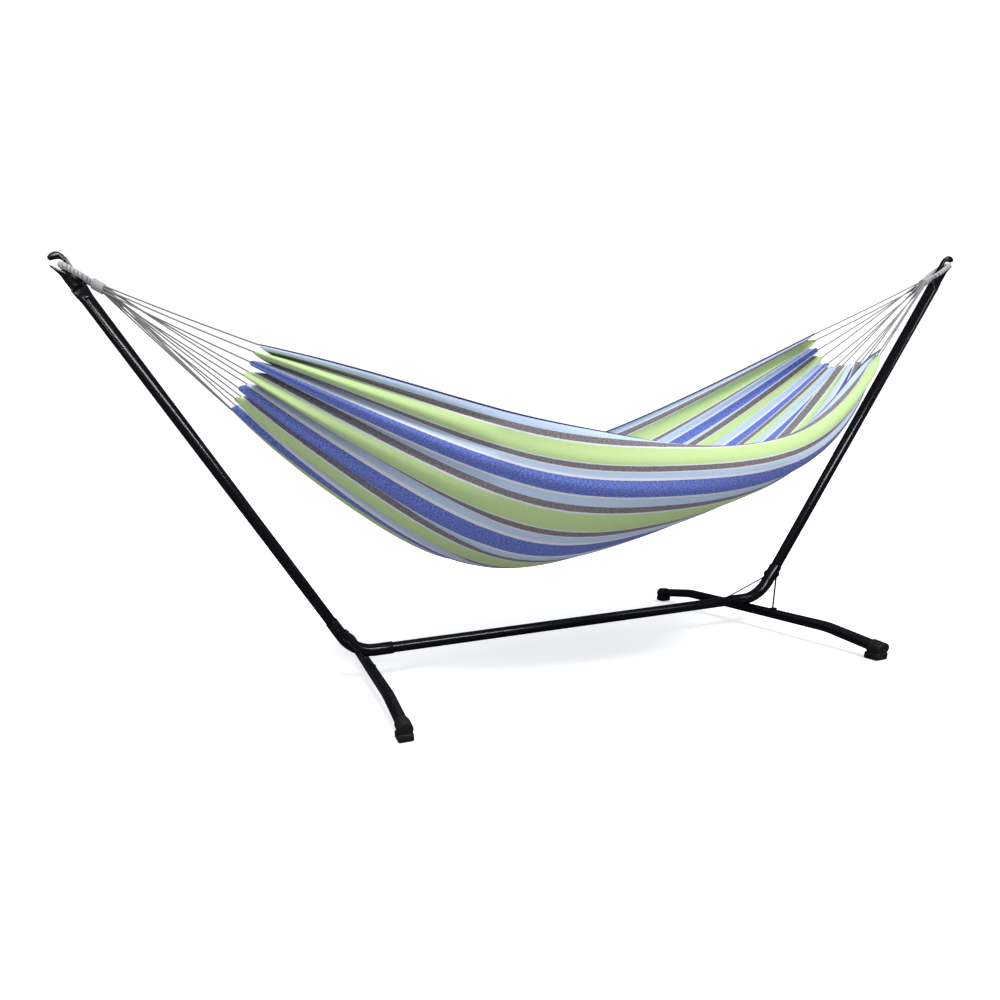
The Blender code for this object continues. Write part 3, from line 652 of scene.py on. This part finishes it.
def cloth_surface(along, across):
    """The cloth's middle surface with its pleats as a grid of points, with its places along and across and its
    normals out of the bed.
    """
    us = 0.5 - 0.5 * np.cos(np.linspace(0, np.pi, along + 1))
    us = 0.35 * us + 0.65 * np.linspace(0, 1, along + 1)
    cloth = np.linspace(0, 1, across + 1)
    shares = smooth_lobes(cloth)
    rows, widths = zip(*(bed_row(u, shares) for u in us))
    grid, widths = np.array(rows), np.array(widths)
    normal = np.cross(np.gradient(grid, axis=0), np.gradient(grid, axis=1))
    normal /= np.linalg.norm(normal, axis=2, keepdims=True)
    normal = -normal                                   # out of the bed
    lobes = len(BED_LOBES) - 1
    slack = np.clip(CLOTH_WIDTH / widths - 1.0, 0.0, None)
    pitch = widths / lobes
    depth = np.minimum(pitch / (2 * math.pi) * 2.5 * np.sqrt(slack), settings().pleat_depth)
    end = np.minimum(us, 1 - us)
    depth = depth * (0.55 + 0.45 * np.exp(-((end / 0.16) ** 2)))
    depth = depth * (1.0 - 0.45 * np.clip((us - 0.4) / 0.3, 0, 1))       # the right end hangs more open
    phase = 2 * math.pi * lobe_turns(cloth)
    crest = 2.2 * np.abs(np.cos(phase / 2)) ** 0.9 - 1.2        # round lobes, sharp valleys
    fade = np.clip(np.minimum(cloth, 1 - cloth) / 0.03, 0, 1)[None, :]
    shift = depth[:, None] * crest[None, :]
    shift = shift * (0.35 + 0.65 * fade)
    # Long soft folds that die out towards the middle, and slack ripples along the near side
    rng = np.random.default_rng(7)
    for count, reach, size in ((19, 0.20, 0.0030), (27, 0.13, 0.0026), (41, 0.09, 0.0016), (9, 0.33, 0.0030)):
        for side in (us, 1 - us):
            drift = rng.uniform(-2.2, 2.2)
            wave = np.sin(2 * math.pi * (count * cloth[None, :] + drift * side[:, None] + rng.random()))
            swell = 0.6 + 0.4 * np.sin(2 * math.pi * (3 * cloth[None, :] + rng.random()))
            shift = shift + size * wave * swell * np.exp(-((side / reach) ** 2))[:, None]
    for centre, width, size, lean in (
            (0.155, 0.018, 0.0065, 0.05), (0.275, 0.020, -0.0050, -0.04), (0.075, 0.022, 0.0050, 0.02),
            (0.37, 0.022, 0.0050, 0.06), (0.88, 0.022, 0.0055, -0.03), (0.72, 0.024, -0.0050, 0.05),
            (0.60, 0.020, 0.0045, -0.05)):
        bend = centre + lean * (us[:, None] - 0.5)
        reach = np.sin(math.pi * us) ** 0.5 * (0.45 + 0.55 * np.cos(2 * math.pi * (us + centre)) ** 2)
        shift = shift + size * np.exp(-(((cloth[None, :] - bend) / width) ** 2)) * reach[:, None]
    grid = grid + normal * shift[:, :, None]
    # The strings draw each lobe out to a point; the cloth between hangs back
    for side, row in ((-1, 0), (1, -1)):
        other = us if side < 0 else 1 - us
        tug = np.exp(-((other / 0.026) ** 2))[:, None] * (0.034 * np.abs(np.cos(phase / 2)) ** 0.8 - 0.026)[None, :]
        seat = np.array([side * HOOK_HALF_SPAN, 0.0, HOOK_SEAT_Z])
        pull = seat - grid[row]
        pull /= np.linalg.norm(pull, axis=1, keepdims=True)
        grid = grid + tug[:, :, None] * pull[None, :, :]
    return us, cloth, grid, normal


def mesh_from_grid(name, grid, uv, closed=False):
    """A mesh of quads over a grid of points, with its map; closed joins the last column to the first."""
    rows, columns = grid.shape[:2]
    index = np.arange(rows * columns).reshape(rows, columns)
    if closed:
        index = np.concatenate([index, index[:, :1]], axis=1)
    quads = np.stack([index[:-1, :-1], index[1:, :-1], index[1:, 1:], index[:-1, 1:]], axis=-1).reshape(-1, 4)
    mesh = bpy.data.meshes.new(name)
    mesh.from_pydata(grid.reshape(-1, 3).tolist(), [], quads.tolist())
    layer = mesh.uv_layers.new(name="weave")
    i, j = np.meshgrid(np.arange(rows - 1), np.arange(index.shape[1] - 1), indexing="ij")
    corners = np.stack([uv[i, j], uv[i + 1, j], uv[i + 1, j + 1], uv[i, j + 1]], axis=2)
    layer.data.foreach_set("uv", corners.reshape(-1).astype(np.float32))
    obj = bpy.data.objects.new(name, mesh)
    bpy.context.scene.collection.objects.link(obj)
    mesh.polygons.foreach_set("use_smooth", [True] * len(mesh.polygons))
    return obj


def frames_along(path):
    """Directions along a path and two square to it that don't twist."""
    path = np.asarray(path, float)
    ahead = np.gradient(path, axis=0)
    ahead /= np.linalg.norm(ahead, axis=1, keepdims=True)
    side = np.zeros_like(path)
    first = np.cross(ahead[0], [0.0, 0.0, 1.0])
    if np.linalg.norm(first) < 0.1:
        first = np.cross(ahead[0], [0.0, 1.0, 0.0])
    side[0] = first / np.linalg.norm(first)
    for i in range(1, len(path)):
        kept = side[i - 1] - ahead[i] * side[i - 1].dot(ahead[i])
        side[i] = kept / np.linalg.norm(kept)
    return ahead, side, np.cross(ahead, side)


def wound_tube(name, path, radius, around, ridge, turns_per_metre, strands):
    """A round cord with raised strands winding round it, closed at both ends."""
    path = np.asarray(path, float)
    run = np.concatenate([[0], np.cumsum(np.linalg.norm(np.diff(path, axis=0), axis=1))])
    _, side, up = frames_along(path)
    turn = np.linspace(0, 2 * math.pi, around, endpoint=False)
    wave = np.cos(strands * turn[None, :] - 2 * math.pi * turns_per_metre * run[:, None])
    thick = np.broadcast_to(np.asarray(radius), run.shape)[:, None] * (1 + ridge * wave)
    round_it = np.cos(turn)[None, :, None] * side[:, None, :] + np.sin(turn)[None, :, None] * up[:, None, :]
    grid = path[:, None, :] + thick[:, :, None] * round_it
    uv = np.stack(np.broadcast_arrays(
        run[:, None], np.linspace(0, 1, around + 1)[None, :]), axis=-1)
    obj = mesh_from_grid(name, grid, uv, closed=True)
    shape = bmesh.new()
    shape.from_mesh(obj.data)
    bmesh.ops.holes_fill(shape, edges=[e for e in shape.edges if e.is_boundary], sides=0)
    bmesh.ops.recalc_face_normals(shape, faces=shape.faces)
    shape.to_mesh(obj.data)
    shape.free()
    obj.data.polygons.foreach_set("use_smooth", [True] * len(obj.data.polygons))
    return obj


def even_path(points, step):
    """The same line with points every step."""
    points = np.asarray(points, float)
    run = np.concatenate([[0], np.cumsum(np.linalg.norm(np.diff(points, axis=0), axis=1))])
    count = max(2, int(round(run[-1] / step)) + 1)
    at = np.linspace(0, run[-1], count)
    return np.stack([np.interp(at, run, points[:, k]) for k in range(3)], axis=1)


def loop_frame(side):
    """The seat, the direction in which the loop is pulled, and the direction square to it."""
    seat = np.array([side * HOOK_HALF_SPAN, 0.0, HOOK_SEAT_Z])
    pull = np.array([-side * math.cos(LOOP_DROP), 0.0, -math.sin(LOOP_DROP)])
    up = np.array([-side * math.sin(LOOP_DROP), 0.0, math.cos(LOOP_DROP)])
    return seat, pull, up


# ---------------------------------------------------------------- operators

class HAMMOCK_OT_stage(bpy.types.Operator):
    """Pale floor, soft light and the camera"""

    bl_idname = "hammock.stage"
    bl_label = "Stage"

    def execute(self, context):
        scene = context.scene
        scene.view_settings.view_transform = "Standard"
        deselect()
        bpy.ops.mesh.primitive_plane_add(size=1.0, location=(0.0, 4.0, 0.0))
        floor = start_shape("floor")
        bpy.ops.mesh.select_all(action="SELECT")
        bpy.ops.transform.resize(value=(60.0, 60.0, 1.0))
        bpy.ops.mesh.subdivide(number_cuts=3)
        bpy.ops.object.mode_set(mode="OBJECT")
        bpy.ops.object.transform_apply(location=True, rotation=True, scale=True)
        made, nodes, shader = new_material("pale floor")
        shader.inputs["Base Color"].default_value = (0.93, 0.93, 0.935, 1.0)
        shader.inputs["Roughness"].default_value = 0.9
        shader.inputs["Specular IOR Level"].default_value = 0.0
        shader.inputs["Emission Color"].default_value = (1.0, 1.0, 1.0, 1.0)
        shader.inputs["Emission Strength"].default_value = 0.46
        dull = nodes.add("ShaderNodeBsdfDiffuse", {"Color": (0.34, 0.34, 0.35, 1.0)})
        dark = nodes.add("ShaderNodeBsdfDiffuse", {"Color": (0.05, 0.05, 0.055, 1.0)})
        path = nodes.add("ShaderNodeLightPath")
        both = nodes.add("ShaderNodeMixShader", {
            0: path.outputs["Is Glossy Ray"], 1: dull.outputs[0], 2: dark.outputs[0]})
        both = nodes.add("ShaderNodeMixShader", {
            0: path.outputs["Is Camera Ray"], 1: both.outputs[0], 2: shader.outputs[0]})
        out = next(n for n in nodes.tree.nodes if n.type == "OUTPUT_MATERIAL")
        nodes.tree.links.new(both.outputs[0], out.inputs["Surface"])
        floor.data.materials.append(made)

        world = bpy.data.worlds.new("studio")
        world.use_nodes = True
        scene.world = world
        nodes = Nodes(world.node_tree)
        for old in list(nodes.tree.nodes):
            nodes.tree.nodes.remove(old)
        path = nodes.add("ShaderNodeLightPath")
        soft = nodes.add("ShaderNodeBackground", {"Color": (0.95, 0.97, 1.0, 1.0), "Strength": 0.80})
        dim = nodes.add("ShaderNodeBackground", {"Color": (0.9, 0.93, 1.0, 1.0), "Strength": 0.05})
        white = nodes.add("ShaderNodeBackground", {"Color": (1.0, 1.0, 1.0, 1.0), "Strength": 1.25})
        both = nodes.add("ShaderNodeMixShader", {
            0: path.outputs["Is Glossy Ray"], 1: soft.outputs[0], 2: dim.outputs[0]})
        both = nodes.add("ShaderNodeMixShader", {
            0: path.outputs["Is Camera Ray"], 1: both.outputs[0], 2: white.outputs[0]})
        nodes.add("ShaderNodeOutputWorld", {0: both.outputs[0]})

        data = bpy.data.lights.new("overhead", "SUN")
        data.energy = 2.5
        data.angle = math.radians(24)
        overhead = bpy.data.objects.new("overhead", data)
        scene.collection.objects.link(overhead)
        overhead.rotation_euler = Vector((-0.08, 0.50, -1.0)).to_track_quat("-Z", "Y").to_euler()
        overhead.visible_glossy = False
        for name, place, aim, size, power in (
                ("strip_front", (-0.6, -2.6, 2.4), (0.0, 0.0, 0.4), (3.4, 0.22), 90.0),
                ("strip_left", (-3.0, -1.6, 2.2), (-0.9, 0.0, 0.6), (0.16, 1.8), 9.0),
                ("strip_right", (3.2, -1.8, 2.4), (0.9, 0.0, 0.6), (0.16, 1.8), 9.0)):
            data = bpy.data.lights.new(name, "AREA")
            data.shape = "RECTANGLE"
            data.size, data.size_y = size
            data.energy = power
            lamp = bpy.data.objects.new(name, data)
            scene.collection.objects.link(lamp)
            lamp.location = place
            lamp.visible_diffuse = False
            lamp.rotation_euler = (Vector(aim) - Vector(place)).to_track_quat("-Z", "Y").to_euler()

        data = bpy.data.cameras.new("camera")
        data.sensor_width = 36.0
        data.lens = 21.12
        data.shift_x = 0.1028
        data.shift_y = 0.1508
        camera = bpy.data.objects.new("camera", data)
        scene.collection.objects.link(camera)
        yaw, pitch, roll = math.radians(12.4605), math.radians(-16.6418), math.radians(-4.3053)
        ahead = Vector((math.cos(pitch) * math.sin(yaw), math.cos(pitch) * math.cos(yaw), math.sin(pitch)))
        level = Vector((math.cos(yaw), -math.sin(yaw), 0.0))
        high = level.cross(ahead)
        right = level * math.cos(roll) + high * math.sin(roll)
        top = high * math.cos(roll) - level * math.sin(roll)
        turn = Matrix((right, top, -ahead)).transposed()
        camera.matrix_world = Matrix.Translation((-0.9667, -1.6900, 0.5971)) @ turn.to_4x4()
        scene.camera = camera
        return {"FINISHED"}


class HAMMOCK_OT_tubes(bpy.types.Operator):
    """Beam, arms, elbows and bent foot bars of the stand"""

    bl_idname = "hammock.tubes"
    bl_label = "Stand tubes"

    def execute(self, context):
        steel = coated_steel()
        corner, along, inward = arm_frame()
        turn = math.acos(along.x)
        leg = BEND_RADIUS * math.tan(turn / 2) + SLEEVE_LENGTH
        entry = leg - TUBE_ENTRY
        beam_end = ELBOW_X - entry
        beam, _, _ = drawn_tube(
            "steel_beam", Vector((-beam_end, 0, BEAM_Z)), Vector((1, 0, 0)), TUBE_D, TUBE_WALL,
            [("go", 2 * beam_end)])
        stand_piece(finish_piece(beam, steel), ["beam"])

        elbow, _, _ = drawn_tube(
            "steel_elbow_right", Vector((ELBOW_X - leg, 0, BEAM_Z)), Vector((1, 0, 0)), ELBOW_D, SLEEVE_WALL,
            [("go", SLEEVE_LENGTH), ("turn", turn, BEND_RADIUS, Vector((0, 0, 1))), ("go", SLEEVE_LENGTH)])
        finish_piece(elbow, steel)
        stand_piece(own_copy(elbow, "steel_elbow_left", 0), ["elbow_left"])
        stand_piece(elbow, ["elbow_right"])

        seat = Vector((HOOK_HALF_SPAN, 0, HOOK_SEAT_Z))
        arm_length = (seat - corner).dot(along) - HOOK_FLAT_TO_ROUND - FIT_GAP - entry
        arm, _, _ = drawn_tube(
            "steel_arm_right", corner + along * entry, along, TUBE_D, TUBE_WALL, [("go", arm_length)])
        finish_piece(arm, steel)
        stand_piece(own_copy(arm, "steel_arm_left", 0), ["arm_left"])
        stand_piece(arm, ["arm_right"])

        bar_z = BEAM_Z - ELBOW_D / 2 - FOOT_BAR_D / 2 - FIT_GAP
        foot = Vector((FOOT_X, -FOOT_HALF_WIDTH, FOOT_END_Z))
        bend = Vector((FOOT_X, -FOOT_BEND_Y, bar_z))
        rising = (bend - foot).normalized()
        tilt = math.acos(rising.y)
        reach = 0.25 * math.tan(tilt / 2)
        sloped = (bend - foot).length - reach
        over = rising.cross(Vector((1, 0, 0))).normalized()
        down = -over if over.z > 0 else over
        bar, _, _ = drawn_tube(
            "steel_foot_bar_right", foot, rising, FOOT_BAR_D, TUBE_WALL,
            [("go", sloped), ("turn", tilt, 0.25, down), ("go", 2 * (FOOT_BEND_Y - reach)),
             ("turn", tilt, 0.25, Vector((0, 0, -1))), ("go", sloped)])
        finish_piece(bar, steel)
        stand_piece(own_copy(bar, "steel_foot_bar_left", 0), ["foot_bar_left"])
        stand_piece(bar, ["foot_bar_right"])
        return {"FINISHED"}


def arm_frame():
    """The right arm's corner, its direction, and the direction square to it, inward."""
    corner = Vector((ELBOW_X, 0, BEAM_Z))
    seat = Vector((HOOK_HALF_SPAN, 0, HOOK_SEAT_Z))
    along = (seat - corner).normalized()
    for _ in range(4):
        inward = Vector((-along.z, 0, along.x))
        along = (seat + inward * HOOK_AXIS_OFFSET - corner).normalized()
    return corner, along, Vector((-along.z, 0, along.x))


class HAMMOCK_OT_hooks(bpy.types.Operator):
    """Pressed arm ends cut to open hooks, with rolled-over edges"""

    bl_idname = "hammock.hooks"
    bl_label = "Hooks"

    def execute(self, context):
        for word, _ in SIDES:
            hook = cad_copy("hook_" + word, "pressed_hook_" + word)
            stand_piece(finish_piece(hook, coated_steel(), 50.0), ["hook_" + word])
        return {"FINISHED"}


class HAMMOCK_OT_pads(bpy.types.Operator):
    """Moulded foot pads on the ends of the foot bars"""

    bl_idname = "hammock.pads"
    bl_label = "Foot pads"

    def execute(self, context):
        for word, _ in SIDES:
            for depth in ("near", "far"):
                node = "pad_%s_%s" % (word, depth)
                pad = cad_copy(node, "moulded_" + node)
                apply_modifier(
                    pad, "soft edge", "BEVEL", width=0.0007, segments=2,
                    limit_method="ANGLE", angle_limit=math.radians(35))
                stand_piece(finish_piece(pad, moulded_rubber(), 45.0), [node])
        return {"FINISHED"}


class HAMMOCK_OT_braces(bpy.types.Operator):
    """Thin brace rods from the elbows to the foot bars, and their bolts"""

    bl_idname = "hammock.braces"
    bl_label = "Braces"

    def execute(self, context):
        corner, along, _ = arm_frame()
        pin = corner + along * BRACE_TOP_ALONG
        head_y = ELBOW_D / 2 + FIT_GAP + EYE_T + FIT_GAP
        deselect()
        bpy.ops.mesh.primitive_cylinder_add(
            vertices=6, radius=0.0058, depth=0.0042, location=(pin.x, -head_y - 0.0029, pin.z),
            rotation=(math.pi / 2, 0.0, 0.0))
        head = start_shape("brace_bolt_right_near")
        front = lambda face: face.normal.z > 0.9 and len(face.verts) == 6
        pick(head, "faces", front)
        bpy.ops.mesh.inset(thickness=0.0008)
        bpy.ops.mesh.extrude_region_move(TRANSFORM_OT_translate={"value": (0.0, -0.0001, 0.0)})
        pick(head, "faces", lambda face: face.normal.z < -0.9)
        bpy.ops.mesh.inset(thickness=0.0002)
        bpy.ops.object.mode_set(mode="OBJECT")
        apply_modifier(head, "edge", "BEVEL", width=0.0004, segments=2,
                       limit_method="ANGLE", angle_limit=math.radians(40))
        bpy.ops.mesh.primitive_cylinder_add(
            vertices=32, radius=0.0059, depth=0.0009, location=(pin.x, -head_y - 0.00045, pin.z),
            rotation=(math.pi / 2, 0.0, 0.0))
        washer = start_shape("brace_washer")
        pick(washer, "faces", lambda face: abs(face.normal.z) > 0.9)
        bpy.ops.mesh.inset(thickness=0.0015)
        bpy.ops.object.mode_set(mode="OBJECT")
        apply_modifier(washer, "edge", "BEVEL", width=0.0002, segments=2,
                       limit_method="ANGLE", angle_limit=math.radians(40))
        deselect()
        washer.select_set(True)
        head.select_set(True)
        context.view_layer.objects.active = head
        bpy.ops.object.join()
        finish_piece(head, dark_zinc(), 35.0)
        near_left = own_copy(head, "brace_bolt_left_near", 0)
        far_right = own_copy(head, "brace_bolt_right_far", 1)
        far_left = own_copy(far_right, "brace_bolt_left_far", 0)
        for bolt, node in ((head, "bolt_right_near"), (near_left, "bolt_left_near"),
                           (far_right, "bolt_right_far"), (far_left, "bolt_left_far")):
            stand_piece(bolt, [node])
            node = node.replace("bolt", "brace")
            brace = cad_copy(node, node.replace("brace_", "brace_rod_"))
            apply_modifier(
                brace, "soft edge", "BEVEL", width=0.0004, segments=2,
                limit_method="ANGLE", angle_limit=math.radians(50))
            stand_piece(finish_piece(brace, coated_steel(), 50.0), [node])
        return {"FINISHED"}


class HAMMOCK_OT_cloth(bpy.types.Operator):
    """The striped cloth, gathered at both ends, and the rolled hems along its rims"""

    bl_idname = "hammock.cloth"
    bl_label = "Cloth"

    def execute(self, context):
        look = settings()
        fine = ((216, 216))
        us, cloth, grid, normal = cloth_surface(*fine)
        run = np.linalg.norm(np.diff(grid.mean(axis=1), axis=0), axis=1)
        length = np.concatenate([[0], np.cumsum(run)])
        length = length / length[-1] * CLOTH_LENGTH
        uv = np.stack(np.broadcast_arrays(length[:, None], cloth[None, :] * CLOTH_WIDTH), axis=-1)
        sheet = mesh_from_grid("striped_sheet", grid, uv)
        sheet.data.materials.append(striped_cloth())
        outward(sheet, grid, normal)
        apply_modifier(sheet, "thickness", "SOLIDIFY", thickness=look.cloth_thickness, offset=0.0)
        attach(sheet, "hammock")
        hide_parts("bed")

        for name, column in (("hem_near", 0), ("hem_far", -1)):
            path = even_path(grid[:, column], 0.004)
            hem = wound_tube(name, path, look.hem_diameter / 2, 10, 0.06, 160.0, 1)
            hem.data.materials.append(yarn("navy hem", look.navy, 900.0, (0.8, 0.8, 0.85), 160.0, 1, 0.5))
            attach(hem, "hammock")
        return {"FINISHED"}


def outward(obj, grid, normal):
    """Makes the sheet's faces point out of the bed."""
    middle = obj.data.polygons[len(obj.data.polygons) // 2]
    near = np.argmin(np.linalg.norm(grid.reshape(-1, 3) - np.array(middle.center), axis=1))
    if np.dot(np.array(middle.normal), normal.reshape(-1, 3)[near]) < 0:
        obj.data.flip_normals()


class HAMMOCK_OT_strings(bpy.types.Operator):
    """Twisted strings fanned from each binding to the cloth's lobes"""

    bl_idname = "hammock.strings"
    bl_label = "Strings"

    def execute(self, context):
        look = settings()
        _, _, grid, _ = cloth_surface(90, 168)
        lobes = len(BED_LOBES) - 1
        for word, side in SIDES:
            seat, pull, up = loop_frame(side)
            end = seat + pull * (EYE_LENGTH + FIT_GAP + BINDING_LENGTH)
            row = grid[0] if side < 0 else grid[-1]
            for i in range(lobes + 1):
                tip = row[round(LOBE_PLACES[i] * (len(row) - 1))]
                share = 2 * i / lobes - 1
                stagger = (1, 0, -1)[i % 3] * (1 - 0.25 * share * share)
                spread = np.array([0.0, 1.0, 0.0]) * (STRING_FAN_Y * share) + up * (STRING_FAN_Z * stagger)
                begin = end + spread - pull * 0.002
                toward = (tip - begin) / np.linalg.norm(tip - begin)
                stop = tip + toward * 0.004
                # The string's own weight bows it by a few millimetres
                t = np.linspace(0, 1, 24)[:, None]
                sag = (4 * t * (1 - t)) * np.array([0.0, 0.0, -0.0022])
                path = even_path(begin + (stop - begin) * t + sag, 0.0021)
                name = "twisted_string_%s_%02d" % (word, i + 1)
                cord = wound_tube(name, path, look.string_diameter / 2, 9, 0.08, 1 / look.string_lay * 3, 3)
                cord.data.materials.append(yarn(
                    "grey twine", [0.62 * part for part in look.rope], 2500.0, (0.62, 0.60, 0.60), 3 / look.string_lay, 3, 0.45))
                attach(cord, "hammock")
                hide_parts("string_%s_%02d" % (word, i + 1))
        return {"FINISHED"}


class HAMMOCK_OT_loops(bpy.types.Operator):
    """Wound rope loops that hang on the hooks, and the bindings below them"""

    bl_idname = "hammock.loops"
    bl_label = "Loops"

    def execute(self, context):
        look = settings()
        across = np.array([0.0, 1.0, 0.0])
        for word, side in SIDES:
            seat, pull, up = loop_frame(side)
            centre = seat + pull * EYE_HALF_WIDTH
            bight = [
                centre - pull * (EYE_HALF_WIDTH * math.cos(a)) + across * (EYE_HALF_WIDTH * math.sin(a))
                for a in np.linspace(-math.pi / 2, math.pi / 2, 25)]
            straight = EYE_LENGTH - EYE_TAPER
            legs = [(straight, 1.0), (straight + 0.3 * EYE_TAPER, 0.86), (straight + 0.62 * EYE_TAPER, 0.52),
                    (EYE_LENGTH - 0.004, 0.292), (EYE_LENGTH, 0.292)]
            one = [seat + pull * s + across * (EYE_HALF_WIDTH * k) for s, k in legs]
            two = [seat + pull * s - across * (EYE_HALF_WIDTH * k) for s, k in reversed(legs)]
            rough = np.array(two + bight + one)
            path = even_path(rough, 0.0012)
            for _ in range(12):
                path[1:-1] = (path[:-2] + 2 * path[1:-1] + path[2:]) / 4
            rope = wound_tube(
                "wound_loop_" + word, path, ROPE_D / 2 * 0.92, 28, 0.085, 1 / look.coil_pitch, 1)
            rope.data.materials.append(yarn(
                "grey rope", look.rope, 1600.0, (0.7, 0.68, 0.67), 1 / look.coil_pitch, 1, 0.85))
            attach(rope, "hammock")
            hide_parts("loop_" + word)

            begin = seat + pull * (EYE_LENGTH - 0.004)
            stop = seat + pull * (EYE_LENGTH + FIT_GAP + BINDING_LENGTH)
            path = even_path([begin, stop], 0.0005)
            t = np.linspace(0, 1, len(path))
            rounded = np.minimum(1.0, np.sqrt(np.clip(np.minimum(t, 1 - t) / 0.10 + 0.35, 0, 1)))
            binding = wound_tube(
                "wound_binding_" + word, path, BINDING_D / 2 * 0.95 * rounded, 40, 0.040, 1 / 0.0030, 1)
            binding.data.materials.append(yarn(
                "grey binding", look.rope, 1600.0, (0.7, 0.68, 0.67), 1 / 0.0030, 1, 0.5))
            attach(binding, "hammock")
            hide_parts("binding_" + word)
        return {"FINISHED"}


class HAMMOCK_PT_panel(bpy.types.Panel):
    """The pieces in the order in which they are made"""

    bl_idname = "HAMMOCK_PT_panel"
    bl_label = "Hammock"
    bl_space_type = "VIEW_3D"
    bl_region_type = "UI"
    bl_category = "Hammock"

    def draw(self, context):
        look = context.scene.hammock_settings
        for name in HammockSettings.__annotations__:
            self.layout.prop(look, name)
        for operator in OPERATORS:
            self.layout.operator(operator.bl_idname)


OPERATORS = (
    HAMMOCK_OT_stage, HAMMOCK_OT_strings, HAMMOCK_OT_loops, HAMMOCK_OT_cloth, HAMMOCK_OT_tubes,
    HAMMOCK_OT_hooks, HAMMOCK_OT_pads, HAMMOCK_OT_braces,
)
CLASSES = (HammockSettings, *OPERATORS, HAMMOCK_PT_panel)


def register():
    for made in CLASSES:
        bpy.utils.register_class(made)
    bpy.types.Scene.hammock_settings = PointerProperty(type=HammockSettings)


def unregister():
    del bpy.types.Scene.hammock_settings
    for made in reversed(CLASSES):
        bpy.utils.unregister_class(made)


def main():
    register()
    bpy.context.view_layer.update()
    bpy.ops.hammock.stage()
    bpy.ops.hammock.strings()
    bpy.ops.hammock.loops()
    bpy.ops.hammock.cloth()
    bpy.ops.hammock.tubes()
    bpy.ops.hammock.hooks()
    bpy.ops.hammock.pads()
    bpy.ops.hammock.braces()
    deselect()


if __name__ == "__main__":
    main()
